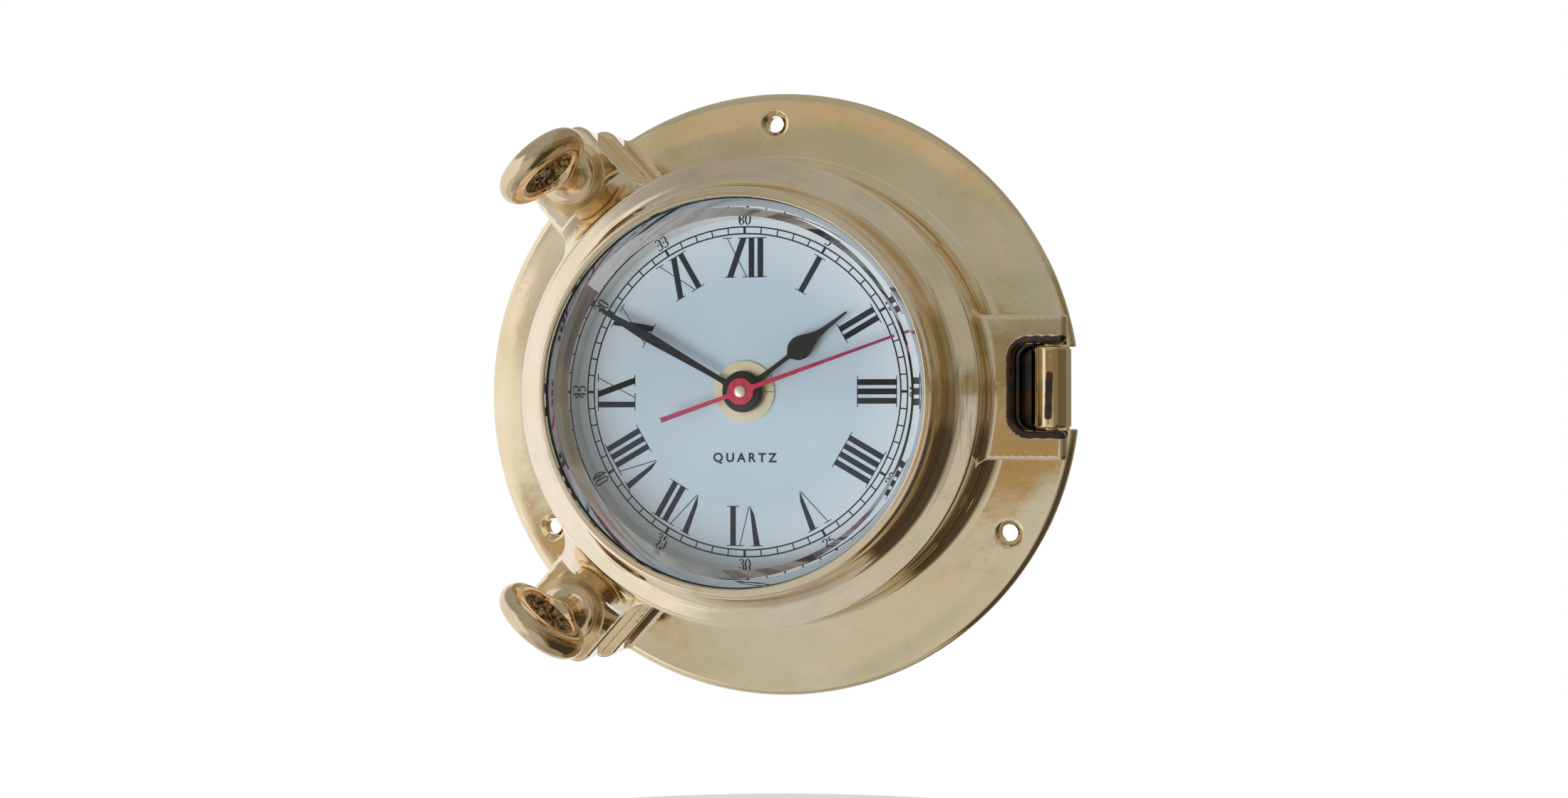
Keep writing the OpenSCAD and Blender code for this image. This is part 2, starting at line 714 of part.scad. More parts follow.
// Leaf-shaped minute hand.
module minute_hand() color([0.1, 0.13, 0.18]) hand(minute_angle, minute_hand_h - hand_t) {
    widest_at = 28.5;
    tip_at = 39.9;
    difference() {
        union() {
            cylinder(r = 4.3, h = hand_t);
            linear_extrude(height = hand_t) polygon([
                [1, -0.45], [1, 0.45], [8, 0.42], [widest_at, 1.15], [widest_at + 3, 0.85], [tip_at, 0.2],
                [tip_at, -0.2], [widest_at + 3, -0.85], [widest_at, -1.15], [8, -0.42]
            ]);
        }
        translate([0, 0, -1]) cylinder(r = 1.7, h = 3);
    }
}

module seconds_hand() color([0.68, 0.12, 0.26]) hand(seconds_angle, seconds_hand_h - 0.3)
    difference() {
        union() {
            linear_extrude(height = 0.3)
                polygon([[-20, -0.62], [-20, 0.62], [-3, 0.42], [38.2, 0.24], [38.2, -0.24], [-3, -0.42]]);
            cylinder(r = 3.1, h = 0.3);
            cylinder(r = 1.35, h = 1);
        }
        translate([0, 0, -1]) cylinder(r = 0.5, h = 1.8);
    }

// ---------- thumb screws ----------

module thumb_washer(side) stand() on_dog_axis(side)
    translate([0, 0, ear_front_h + 0.02]) ring(8.9, stud_d / 2 + 0.06, 0.8);

skirt_h = ear_front_h + 0.85;

// A dished disc with a thick round rim, on a waisted neck.
module thumb_knob(side) stand() on_dog_axis(side) {
    rim_r = 3.1;
    disc_r = knob_d / 2;
    neck_top_h = knob_h - disc_r + 2.4;
    neck_r = 3.9;
    skirt_r = 8.4;
    waist = skirt_r - neck_r;
    difference() {
        union() {
            translate([0, 0, knob_h]) rotate([0, 90, 0]) {
                rotate_extrude() translate([disc_r - rim_r, 0]) circle(r = rim_r);
                cylinder(r = disc_r - rim_r, h = 2.6, center = true);
                cylinder(r = 2.8, h = 4, center = true);
            }
            rotate_extrude() difference() {
                translate([0, skirt_h]) square([skirt_r, neck_top_h - skirt_h]);
                translate([skirt_r, skirt_h + 1 + waist]) circle(r = waist);
                translate([neck_r, skirt_h + 1 + waist]) square([waist + 1, 10]);
            }
        }
        translate([0, 0, skirt_h - 1]) cylinder(d = stud_d, h = 8);
    }
}

module thumb_stud(side) stand() on_dog_axis(side) {
    clip_h = ear_back_h + 0.5;
    tip_h = collar_h - 3.8;
    difference() {
        translate([0, 0, tip_h]) cylinder(d = stud_d, h = skirt_h + 6.9 - tip_h);
        translate([0, 0, clip_h]) ring(stud_d, stud_d / 2 - 0.5, 0.9);
    }
}

module thumb_clip(side) stand() on_dog_axis(side)
    translate([0, 0, ear_back_h + 0.52]) difference() {
        ring(4.6, stud_d / 2 - 0.48, 0.84);
        translate([0, -0.8, -1]) cube([8, 1.6, 4]);
    }

module upper_washer() color([0.8, 0.68, 0.42]) thumb_washer(1);
module upper_knob() color([0.72, 0.6, 0.4]) thumb_knob(1);
module upper_stud() color([0.8, 0.68, 0.42]) thumb_stud(1);
module upper_clip() color([0.6, 0.6, 0.6]) thumb_clip(1);
module lower_washer() color([0.8, 0.68, 0.42]) thumb_washer(-1);
module lower_knob() color([0.72, 0.6, 0.4]) thumb_knob(-1);
module lower_stud() color([0.8, 0.68, 0.42]) thumb_stud(-1);
module lower_clip() color([0.6, 0.6, 0.6]) thumb_clip(-1);

mounting_flange();
seat_gasket();
hinge_pin();
door_bezel();
glass_gasket();
bevelled_glass();
reflector_ring();
dial_plate();
retaining_ring();
retaining_screws();
movement_front_case();
movement_back_case();
battery_cell();
battery_spring();
battery_contact();
circuit_board();
quartz_crystal();
drive_chip();
coil_bobbin();
coil_winding();
stator_core();
dial_cushion();
dial_washer();
dial_nut();
rotor();
fifth_wheel();
seconds_wheel();
third_wheel();
minute_wheel();
motion_wheel();
hour_wheel();
set_knob();
hour_hand();
minute_hand();
seconds_hand();
upper_washer();
upper_knob();
upper_stud();
upper_clip();
lower_washer();
lower_knob();
lower_stud();
lower_clip();
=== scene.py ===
"""Looks of a brass porthole clock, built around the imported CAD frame.

Shapes are worked out in clock millimetres: x right, y up, h out from the wall. to_row() puts them in
the frame. The brass castings are distance fields, meshed on grids that follow their round bodies.
"""

import json
import math

import bpy
import numpy as np
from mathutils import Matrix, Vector
from mathutils.geometry import tessellate_polygon
from numpy import hypot, maximum, minimum


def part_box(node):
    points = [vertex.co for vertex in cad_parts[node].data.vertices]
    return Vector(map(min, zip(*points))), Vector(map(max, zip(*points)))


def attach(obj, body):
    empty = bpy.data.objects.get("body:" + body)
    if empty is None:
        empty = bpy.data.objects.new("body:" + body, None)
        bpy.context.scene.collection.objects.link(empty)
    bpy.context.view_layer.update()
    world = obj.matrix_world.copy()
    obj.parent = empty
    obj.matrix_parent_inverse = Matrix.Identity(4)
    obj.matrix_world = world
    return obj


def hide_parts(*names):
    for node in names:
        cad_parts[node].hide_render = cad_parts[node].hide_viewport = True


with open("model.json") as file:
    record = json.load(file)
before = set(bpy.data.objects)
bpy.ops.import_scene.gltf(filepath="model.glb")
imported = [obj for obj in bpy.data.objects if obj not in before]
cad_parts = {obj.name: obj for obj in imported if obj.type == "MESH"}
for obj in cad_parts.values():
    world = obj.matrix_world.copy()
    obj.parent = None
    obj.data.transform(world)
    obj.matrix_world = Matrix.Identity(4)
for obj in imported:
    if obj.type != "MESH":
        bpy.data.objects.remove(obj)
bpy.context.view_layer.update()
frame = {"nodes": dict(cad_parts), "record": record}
scene = bpy.context.scene

MM = 0.001


def extent(node):
    """Lowest and highest corner of a CAD node in clock millimetres."""
    low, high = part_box(node)
    return Vector((low.x, low.z, -high.y)) / MM, Vector((high.x, high.z, -low.y)) / MM


def middle(node):
    low, high = extent(node)
    return (low + high) / 2


def heights(node):
    """How far out from the wall a CAD node starts and ends."""
    low, high = extent(node)
    return low.z, high.z


# ---------- sizes, in millimetres ----------

# Wall flange
FLANGE_R = extent("mounting_flange")[1].y
FLANGE_T = 5.0
FLANGE_EDGE = 1.8
ROLL_START_R = 66.0
ROLL_DROP = 0.30
COLLAR_H = 12.0
COLLAR_FILLET = 4.0
BORE_R = 47.0
SCREW_CIRCLE_R = 67.35
SCREW_HOLE_R = 2.05
SINK_R = 3.3
LUG_HALF_W = 13.2
LUG_REACH = 78.4
LUG_FLARE = 6.0
LUG_TIP_R = 4.0
LUG_BORE_R = 3.05
GASKET_R = (49.4, 52.6)
GASKET_DEPTH = 1.4

# Door
DOOR_R = 55.2
DOOR_BACK_H, RIM_H = heights("door_bezel")
DOOR_EDGE_H = 34.8
DOOR_EDGE = 0.7
FACE_RISE = 0.5
FACE_RISE_W = 3.4
RIM_FOOT_R = 48.6
RIM_TOP_R = 46.8
RIM_FILLET = 3.2
CREST = 1.15
SIGHT_R = 44.5
LIP_H = 46.95
GLASS_SEAT_R = 45.8
DRUM_BORE_R = 50.6
SHOULDER_H = 30.0
RING_SCREW_CIRCLE_R = 48.0
RING_SCREW_R = 1.04
RING_SCREW_DEPTH = 3.6

# Ears and hinge
EAR_HALF_W = 10.8
EAR_REACH = 80.2
EAR_FRONT_H = 23.0
EAR_WEB_REACH = 8.4
EAR_WEB_R = 16.0
EAR_FLARE = 8.0
EAR_BORE_R = 2.58
CLIP_POCKET_R = 5.2
CLIP_POCKET_DEPTH = 5.65
EAR_ROOT = 20.0
HINGE_ROOT = 30.0
PIN_BORE_ROOT = 50.0
PIN = middle("hinge_pin")
PIN_R = 2.0
PIN_PLAY = 0.05
KNUCKLE_R = 4.2
NOSE_EDGE = 1.8
MID_KNUCKLE_HALF = 9.6
HINGE_EAR_HALF = 17.0
WINDOW_X = 61.6
WINDOW_HALF = 9.9
WINDOW_EDGE = 2.3
WINDOW_CORNER = 3.2
NOTCH_X = 72.6
# Extent of the painted dark reflection along the top of the middle knuckle
KNUCKLE_REFLECTION_HALF = 6.2
KNUCKLE_REFLECTION_HALF_W = 1.15

# Thumb screws
KNOB_R = 11.75
KNOB_RIM = 3.1
KNOB_H = 42.0
NECK_R = 3.9
SKIRT_R = 7.3
SKIRT_H = heights("upper_knob")[0]
SKIRT_T = 1.1
SOCKET_DEPTH = 7.0
WEB_HALF = 1.3
WEB_LUMP = 0.22
KNOB_BOSS_R = 2.7
STUD_R = 2.5
DOGS = {side: middle(side + "_stud") for side in ("upper", "lower")}

# Glass, reflector, dial and hands
GLASS_R = 45.6
GLASS_H = heights("bevelled_glass")
GLASS_EDGE_H = 46.35
BEVEL_R = (42.2, 44.4)
REFLECTOR_R = 40.7
REFLECTOR_MOUTH_R = 43.9
HUB = middle("dial_plate")
DIAL_H = heights("dial_plate")[1]
DIAL_R = 45.2
INK_T = 0.03
INK_FOOT = DIAL_H - 0.02
INK_TOP = DIAL_H + INK_T
TRACK_R = (36.95, 38.55)
TRACK_LINE = 0.34
NUMERAL_R = (26.8, 35.95)
FIGURE_R = 39.05
WORD_DROP = 15.5
FIGURE_SIZE = 2.3
SECONDS_H = heights("seconds_hand")[0]
SECONDS_T = 0.3

# Clock angles of the hands in degrees
HOUR_ANGLE = 53.5
MINUTE_ANGLE = 299.5
SECONDS_ANGLE = 70.7


# ---------- meshes ----------

def to_row(points):
    """Clock millimetres to frame metres."""
    p = np.asarray(points, float)
    return np.stack([p[:, 0], -p[:, 2], p[:, 1]], axis=1) * MM


def mesh_object(name, points, faces, material):
    """Makes one object from a mesh in frame metres."""
    mesh = bpy.data.meshes.new(name)
    mesh.from_pydata(points, [], faces)
    mesh.update()
    mesh.materials.append(material)
    made = bpy.data.objects.new(name, mesh)
    scene.collection.objects.link(made)
    return made


def add_piece(name, shape, finish, body, node=None, normals=None, sharp=None):
    """Makes one mesh object that rides on a CAD body and may stand for one of its nodes.

    shape is (points, faces) in clock millimetres. The slot has the finish's name.
    Normals are in clock axes. sharp is the angle in degrees from which an edge stays crisp.
    """
    points, faces = shape
    piece = mesh_object(name, to_row(points), faces, finishes[finish])
    mesh = piece.data
    if normals is not None or sharp is not None:
        mesh.polygons.foreach_set("use_smooth", [True] * len(mesh.polygons))
    if sharp is not None:
        mesh.set_sharp_from_angle(angle=math.radians(sharp))
    if normals is not None:
        mesh.normals_split_custom_set_from_vertices(to_row(normals) / MM)
    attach(piece, body)
    if node:
        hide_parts(node)
    return piece


def mark_points(piece, name, amount):
    """Gives each point a share from 0 to 1 that the finishes read."""
    mark = piece.data.attributes.new(name, "FLOAT", "POINT")
    mark.data.foreach_set("value", np.asarray(amount, np.float32))


def unit(rows):
    """Rows scaled to length 1."""
    return rows / maximum(np.linalg.norm(rows, axis=1), 1e-9)[:, None]


def revolve(profile, segments, centre=(0.0, 0.0)):
    """Turns a closed (r, h) profile about the clock's axis. Points with r 0 become one pole each."""
    profile = np.asarray(profile, float)
    angle = np.arange(segments) * 2 * math.pi / segments
    points, rows = [], []
    for r, h in profile:
        first = len(points)
        if r == 0:
            points.append((centre[0], centre[1], h))
            rows.append([first] * segments)
        else:
            points.extend((centre[0] + r * math.cos(a), centre[1] + r * math.sin(a), h) for a in angle)
            rows.append(list(range(first, first + segments)))
    faces = []
    for i, row in enumerate(rows):
        after = rows[(i + 1) % len(rows)]
        if row[0] == row[1] and after[0] == after[1]:
            continue
        for j in range(segments):
            k = (j + 1) % segments
            faces.append(list(dict.fromkeys([row[j], row[k], after[k], after[j]])))
    return points, faces


def plate(loops, low, high, chamfer=0.0):
    """A flat piece between two heights, with its upper edge chamfered.

    The first loop runs anticlockwise. Later loops are holes and run clockwise.
    """
    points, faces, lower, upper = [], [], [], []
    for loop in loops:
        p = np.asarray(loop, float)
        tangent = unit(unit(np.roll(p, -1, 0) - p) + unit(p - np.roll(p, 1, 0)))
        inset = p + chamfer * np.stack([-tangent[:, 1], tangent[:, 0]], axis=1)
        levels = [(p, low), (p, high - chamfer), (inset, high)] if chamfer else [(p, low), (p, high)]
        start, n = len(points), len(p)
        for outline, h in levels:
            points.extend((x, y, h) for x, y in outline)
        top = len(points) - n
        lower.extend(range(start, start + n))
        upper.extend(range(top, top + n))
        for a in range(start, top, n):
            for j in range(n):
                k = (j + 1) % n
                faces.append([a + j, a + k, a + n + k, a + n + j])
    flat = [[Vector((x, y, 0)) for x, y in loop] for loop in loops]
    corner = [spot for loop in flat for spot in loop]
    for a, b, c in tessellate_polygon(flat):
        if (corner[b] - corner[a]).cross(corner[c] - corner[a]).z < 0:
            b, c = c, b
        faces.append([upper[a], upper[b], upper[c]])
        faces.append([lower[a], lower[c], lower[b]])
    return points, faces


def merged(parts):
    """Joins (points, faces) pairs into one."""
    points, faces = [], []
    for p, f in parts:
        base = len(points)
        points.extend(p)
        faces.extend([[base + i for i in face] for face in f])
    return points, faces


# ---------- distance fields ----------

def join_round(a, b, r):
    """Union, with a fillet of radius r where the two shapes meet."""
    return maximum(r, minimum(a, b)) - hypot(maximum(r - a, 0), maximum(r - b, 0))


def keep_round(a, b, r):
    """Intersection, with its outer edge rounded to radius r."""
    return minimum(-r, maximum(a, b)) + hypot(maximum(r + a, 0), maximum(r + b, 0))


def cut_round(a, b, r):
    """a without b, with the edge of the cut rounded to radius r."""
    return keep_round(a, -b, r)


def turned(x, y, side):
    """Coordinates along and across the line from the clock's centre through one thumb screw."""
    at = DOGS[side].xy.normalized()
    return x * at.x + y * at.y, y * at.x - x * at.y


def lug_outline(x, y, side, half_w, reach, flare):
    """A straight-sided lug with rounded corners, flared where it meets the drum."""
    u, v = turned(x, y, side)
    lug = keep_round(np.abs(v) - half_w, u - reach, LUG_TIP_R)
    return join_round(lug, hypot(x, y) - DOOR_R, flare)


def off_bolt(x, y, side):
    """Distance from a thumb screw's axis."""
    return hypot(x - DOGS[side].x, y - DOGS[side].y)


def off_circle(x, y, reach, angle):
    """Distance from an axis on a circle about the clock, at an angle in degrees."""
    turn = math.radians(angle)
    return hypot(x - reach * math.cos(turn), y - reach * math.sin(turn))


def off_pin(x, h):
    """Distance from the hinge pin's axis."""
    return hypot(x - PIN.x, h - PIN.z)


def flange_field(x, y, h):
    """The wall flange: plate, collar, two lugs and the middle knuckle."""
    r = hypot(x, y)
    roll = ROLL_DROP * np.square(maximum(r - ROLL_START_R, 0) / (FLANGE_R - ROLL_START_R))
    body = keep_round(r - FLANGE_R, h - FLANGE_T + roll, FLANGE_EDGE)
    body = join_round(body, keep_round(r - DOOR_R, h - COLLAR_H, 0.3), COLLAR_FILLET)
    for side in DOGS:
        outline = lug_outline(x, y, side, LUG_HALF_W, LUG_REACH, LUG_FLARE)
        lug = keep_round(outline, h - COLLAR_H + 0.05, 0.6)
        lug = maximum(lug, -turned(x, y, side)[0])
        body = join_round(body, lug, 1.6)
    across = np.abs(y - PIN.y) - MID_KNUCKLE_HALF
    barrel = off_pin(x, h) - KNUCKLE_R
    post = maximum(np.abs(x - PIN.x) - KNUCKLE_R, h - PIN.z)
    body = join_round(body, keep_round(minimum(barrel, post), across, 0.7), 0.8)
    notch = maximum(NOTCH_X - x, maximum(np.abs(y - PIN.y) - WINDOW_HALF, h - FLANGE_T - 1))
    body = cut_round(body, notch, 0.4)
    body = cut_round(body, r - BORE_R, 0.5)
    groove = maximum(maximum(GASKET_R[0] - r, r - GASKET_R[1]), COLLAR_H - GASKET_DEPTH - h)
    body = cut_round(body, groove, 0.15)
    for angle in (90, 210, 330):
        away = off_circle(x, y, SCREW_CIRCLE_R, angle)
        cone = (away - SINK_R + (FLANGE_T - h)) * math.sqrt(0.5)
        body = cut_round(body, minimum(away - SCREW_HOLE_R, cone), 0.25)
    for side in DOGS:
        body = cut_round(body, off_bolt(x, y, side) - LUG_BORE_R, 0.3)
    body = cut_round(body, off_pin(x, h) - PIN_R, 0.15)
    return keep_round(body, -h, 0.6)


def fade(distance, soft):
    """0 below distance 0, rising to 1 over the soft width."""
    return np.clip(distance / soft, 0, 1)


def drum_field(r, h):
    """The door's drum and its raised rim, without the openings."""
    face = DOOR_EDGE_H + FACE_RISE * fade(DOOR_R - DOOR_EDGE - r, FACE_RISE_W)
    drum = keep_round(r - DOOR_R, h - face, DOOR_EDGE)
    share = np.clip((h - DOOR_EDGE_H) / (RIM_H - DOOR_EDGE_H), -1, 1)
    flank = (r - RIM_FOOT_R + (RIM_FOOT_R - RIM_TOP_R) * share) * 0.99
    rim = keep_round(flank, h - RIM_H, CREST)
    return join_round(drum, rim, RIM_FILLET)


def window_field(x, y):
    """The hinge ear's window from the front: open towards the outside, with rounded inner corners."""
    return keep_round(WINDOW_X - x, np.abs(y - PIN.y) - WINDOW_HALF, WINDOW_CORNER)


def ear_web(outline, r, h):
    """The hollow slope that climbs from an ear's flat front to the edge of the door's face."""
    edge_r, edge_h = DOOR_R, DOOR_EDGE_H - 0.25
    run, rise = EAR_WEB_REACH, EAR_FRONT_H - edge_h
    chord = math.hypot(run, rise)
    away = math.sqrt(EAR_WEB_R ** 2 - chord ** 2 / 4) / chord
    centre_r, centre_h = edge_r + run / 2 - rise * away, edge_h + rise / 2 + run * away
    hollow = EAR_WEB_R - hypot(r - centre_r, h - centre_h)
    return maximum(maximum(outline, hollow), maximum(h - edge_h, r - edge_r - run))


def door_field(x, y, h):
    """The door: drum, rim, two ears, and the hinge ear with its window."""
    r = hypot(x, y)
    body = drum_field(r, h)
    for side in DOGS:
        outline = lug_outline(x, y, side, EAR_HALF_W, EAR_REACH, EAR_FLARE)
        ear = keep_round(outline, h - EAR_FRONT_H, 0.7)
        ear = join_round(ear, ear_web(outline, r, h), 0.25)
        ear = maximum(ear, EAR_ROOT - turned(x, y, side)[0])
        body = join_round(body, ear, 0.3)
    barrel = off_pin(x, h) - KNUCKLE_R
    web = maximum(x - PIN.x, h - PIN.z - KNUCKLE_R)
    nose = maximum(keep_round(x - PIN.x - KNUCKLE_R, h - PIN.z - KNUCKLE_R, NOSE_EDGE), PIN.z - h)
    section = minimum(minimum(barrel, web), nose)
    hinge_ear = keep_round(section, np.abs(y - PIN.y) - HINGE_EAR_HALF, 0.8)
    hinge_ear = maximum(hinge_ear, HINGE_ROOT - x)
    body = join_round(body, hinge_ear, 2.4)
    body = cut_round(body, window_field(x, y), WINDOW_EDGE)
    seat = maximum(r - GLASS_SEAT_R, h - LIP_H)
    bore = maximum(r - DRUM_BORE_R, h - SHOULDER_H)
    body = cut_round(body, r - SIGHT_R, 0.35)
    body = cut_round(body, minimum(seat, bore), 0.1)
    for side in DOGS:
        away = off_bolt(x, y, side)
        pocket = maximum(away - CLIP_POCKET_R, h - DOOR_BACK_H - CLIP_POCKET_DEPTH)
        body = cut_round(body, minimum(away - EAR_BORE_R, pocket), 0.15)
    for angle in (45, 135, 225, 315):
        away = off_circle(x, y, RING_SCREW_CIRCLE_R, angle) - RING_SCREW_R
        body = cut_round(body, maximum(away, h - SHOULDER_H - RING_SCREW_DEPTH), 0.1)
    pin_bore = off_pin(x, h) - PIN_R - PIN_PLAY
    body = cut_round(body, maximum(pin_bore, PIN_BORE_ROOT - x), 0.15)
    return keep_round(body, DOOR_BACK_H - h, 0.3)


def knob_field(u, v, h):
    """A thumb screw's knob: a dished disc with a thick round rim, on a flared neck.

    u and v start at the bolt, along and across the line from the clock's centre.
    """
    disc = hypot(v, h - KNOB_H)
    rim = hypot(disc - KNOB_R + KNOB_RIM, u) - KNOB_RIM
    lumps = np.sin(1.9 * v + 0.7 * h) * np.sin(2.3 * h - 0.9 * v + 1.0)
    lumps += 0.5 * np.sin(4.1 * v + 1.3 * u) * np.sin(3.7 * h)
    web = keep_round(disc - KNOB_R + KNOB_RIM, np.abs(u) - WEB_HALF - WEB_LUMP * lumps, 0.5)
    body = join_round(rim, web, 1.4)
    body = join_round(body, hypot(disc, u * 1.25) - KNOB_BOSS_R, 0.6)
    away = hypot(u, v)
    neck = maximum(away - NECK_R, h - KNOB_H + KNOB_R - 4.0)
    skirt = keep_round(away - SKIRT_R, h - SKIRT_H - SKIRT_T, 0.5)
    stem = join_round(neck, skirt, SKIRT_R - NECK_R - 0.3)
    body = join_round(body, stem, 2.2)
    body = cut_round(body, maximum(away - STUD_R, h - SKIRT_H - SOCKET_DEPTH), 0.1)
    return keep_round(body, SKIRT_H - h, 0.25)


def slope(field, p, step=0.02):
    """The field's gradient at points, by central differences."""
    parts = []
    for axis in range(3):
        shift = np.zeros(3)
        shift[axis] = step
        parts.append((field(*(p + shift).T) - field(*(p - shift).T)) / (2 * step))
    return np.stack(parts, axis=1)


def field_mesh(field, axes, place, ring=False):
    """Surface net of a field's zero surface, as (points, quads, normals).

    axes are the grid lines along three right-handed coordinates, and place turns those into x, y and h.
    With ring, the second coordinate closes on itself.
    """
    x, y, h = place(*np.meshgrid(*axes, indexing="ij"))
    value = field(x, y, h)
    grid = np.stack([x, y, h], axis=-1)
    turns = value.shape[1]
    if ring:
        value = np.concatenate([value, value[:, :1]], axis=1)
        grid = np.concatenate([grid, grid[:, :1]], axis=1)
    cells = value.shape
    corner_ids, corner_spots, quads = [], [], []
    for axis in range(3):
        along = np.moveaxis(value, axis, 0)
        a, b = np.moveaxis(along[:-1], 0, axis), np.moveaxis(along[1:], 0, axis)
        at = np.array(np.nonzero((a < 0) != (b < 0)))
        if ring and axis != 1:
            at = at[:, at[1] < turns]
        index = tuple(at)
        far = at.copy()
        far[axis] += 1
        share = (a[index] / (a[index] - b[index]))[:, None]
        spot = grid[index] * (1 - share) + grid[tuple(far)] * share
        e, f = (axis + 1) % 3, (axis + 2) % 3
        around = []
        for step_e, step_f in ((-1, -1), (0, -1), (0, 0), (-1, 0)):
            cell = at.copy()
            cell[e] += step_e
            cell[f] += step_f
            if ring:
                cell[1] %= turns
            around.append(np.ravel_multi_index(tuple(cell), cells))
            corner_ids.append(around[-1])
            corner_spots.append(spot)
        quad = np.stack(around, axis=1)
        leaving = a[index] < 0
        quads.append(np.where(leaving[:, None], quad, quad[:, ::-1]))
    ids = np.concatenate(corner_ids)
    spots = np.concatenate(corner_spots)
    used, where = np.unique(ids, return_inverse=True)
    count = np.bincount(where)
    points = np.stack([np.bincount(where, spots[:, k]) / count for k in range(3)], axis=1)
    faces = np.searchsorted(used, np.concatenate(quads))
    for _ in range(4):
        g = slope(field, points)
        size = maximum((g * g).sum(axis=1), 1e-6)
        move = -(field(*points.T) / size)[:, None] * g
        points += np.clip(move, -0.25, 0.25)
    return points, faces, unit(slope(field, points, 0.04))


def lines(*stretches):
    """Grid lines from (end, spacing) stretches. The first pair gives the start and has no spacing."""
    out = [stretches[0][0]]
    for end, spacing in stretches[1:]:
        count = max(1, round((end - out[-1]) / spacing))
        out.extend(np.linspace(out[-1], end, count + 1)[1:])
    return np.array(out)


def around_body(fine_spans, coarse, fine):
    """Angles round the body, in radians, with a finer spacing inside the given spans of degrees."""
    stretches = [(0.0, 0)]
    for start, end in fine_spans:
        stretches += [(start, coarse), (end, fine)]
    stretches.append((360.0, coarse))
    return np.radians(lines(*stretches)[:-1]) + math.radians(1e-3)


def from_polar(r, angle, h):
    return r * np.cos(angle), r * np.sin(angle), h


def make_flange():
    r = lines((46.0, 0), (50.0, 0.5), (54.4, 0.6), (56.2, 0.3), (60.0, 0.5), (64.0, 0.8), (71.0, 0.33),
              (72.5, 0.5), (75.6, 0.3), (80.0, 0.5))
    h = lines((-0.7, 0), (1.0, 0.4), (2.8, 0.6), (8.0, 0.32), (10.4, 0.5), (12.6, 0.3), (21.9, 0.5))
    spans = [(0.5, 11), (86.3, 93.7), (117, 146), (206.3, 213.7), (214, 243), (326.3, 333.7), (351, 359.5)]
    points, faces, normals = field_mesh(flange_field, (r, around_body(spans, 0.8, 0.33), h), from_polar, True)
    flange = add_piece("flange_casting", (points, faces), "polished_brass", "base", "mounting_flange",
                       normals=normals)
    x, y, h = points.T
    # Painted shade down in the hinge slot, and a painted dark reflection along the top of the middle knuckle
    slot = fade(WINDOW_HALF + 1 - np.abs(y - PIN.y), 0.5) * fade(h - 2, 1)
    slot *= fade(PIN.x - 0.72 * KNUCKLE_R - x, 0.4) * fade(x - WINDOW_X + 3, 0.5)
    knuckle_reflection = fade(KNUCKLE_REFLECTION_HALF_W - np.abs(x - PIN.x - 0.2 - 0.03 * y), 0.6)
    knuckle_reflection *= fade(KNUCKLE_REFLECTION_HALF - np.abs(y + 0.6), 1.2) * (h > PIN.z)
    mark_points(flange, "hinge_shade_and_reflection", maximum(slot, 0.9 * knuckle_reflection))


def make_door():
    r = lines((44.0, 0), (47.4, 0.24), (52.4, 0.45), (55.8, 0.28), (58.6, 0.5), (65.0, 0.36), (76.0, 0.6),
              (81.0, 0.5))
    h = lines((11.4, 0), (13.4, 0.4), (20.0, 0.7), (24.0, 0.33), (32.6, 0.6), (36.6, 0.3), (45.4, 0.7),
              (49.2, 0.22))
    spans = [(0.5, 22), (112, 151), (209, 248), (338, 359.5)]
    points, faces, normals = field_mesh(door_field, (r, around_body(spans, 0.85, 0.42), h), from_polar, True)
    door = add_piece("door_casting", (points, faces), "door_brass", "door", "door_bezel",
                     normals)
    # Painted shade on the rounded edge of the hinge window and on its inner walls
    beside = window_field(points[:, 0], points[:, 1])
    band = fade(WINDOW_EDGE - 0.1 - beside, 0.3) * fade(beside - 0.3, 0.25)
    mark_points(door, "hinge_shade_and_reflection", maximum(band, 0.8 * fade(0.02 - beside, 0.1)))


def make_knob(side):
    at = DOGS[side]
    out_x, out_y = at.xy.normalized()
    spans = ((-9.3, 9.3), (-12.6, 12.6), (SKIRT_H - 0.8, 54.6))
    axes = [lines((start, 0), (end, 0.32)) for start, end in spans]
    p, faces, n = field_mesh(knob_field, axes, lambda u, v, h: (u, v, h))

    def stood(q):
        """Bolt coordinates to clock directions."""
        u, v, h = q.T
        return np.stack([u * out_x - v * out_y, u * out_y + v * out_x, h], axis=1)

    shape = stood(p) + np.array([at.x, at.y, 0]), faces
    knob = add_piece(side + "_knob_casting", shape, "knob_brass", side + "_screw", side + "_knob",
                     normals=stood(n))
    u, v, h = p.T
    cast = fade(KNOB_R - 0.95 * KNOB_RIM - hypot(v, h - KNOB_H), 1.2) * fade(2.9 - np.abs(u), 0.8)
    mark_points(knob, "cast_skin", cast * (h > KNOB_H - KNOB_R))


# ---------- glass, reflector, dial and print ----------

def on_dial(angle, shape):
    """Places points given as across (clockwise) and out from the hub, at a clock angle in degrees."""
    s, c = math.sin(math.radians(angle)), math.cos(math.radians(angle))
    return [(HUB.x + s * out + c * across, HUB.y + c * out - s * across) for across, out in shape]


def dial_block(angle, corners, top):
    """One printed shape on the dial, from the corners of its outline."""
    loop = on_dial(angle, corners)
    area = sum(a[0] * b[1] - b[0] * a[1] for a, b in zip(loop, loop[1:] + loop[:1]))
    return plate([loop if area > 0 else loop[::-1]], INK_FOOT, top)


def print_piece(name, parts):
    """Makes one printed piece that rides on the door."""
    add_piece(name, merged(parts), "printing_ink", "door")


def curve_through(points, steps=7):
    """A smooth curve through 2-D points (Catmull-Rom)."""
    p = np.asarray(points, float)
    p = np.vstack([2 * p[0] - p[1], p, 2 * p[-1] - p[-2]])
    out = []
    for i in range(1, len(p) - 2):
        a, b, c, d = p[i - 1:i + 3]
        for t in np.arange(steps) / steps:
            out.append(0.5 * (2 * b + (c - a) * t + (2 * a - 5 * b + 4 * c - d) * t ** 2
                              + (3 * b - a - 3 * c + d) * t ** 3))
    out.append(p[-2])
    return np.array(out)


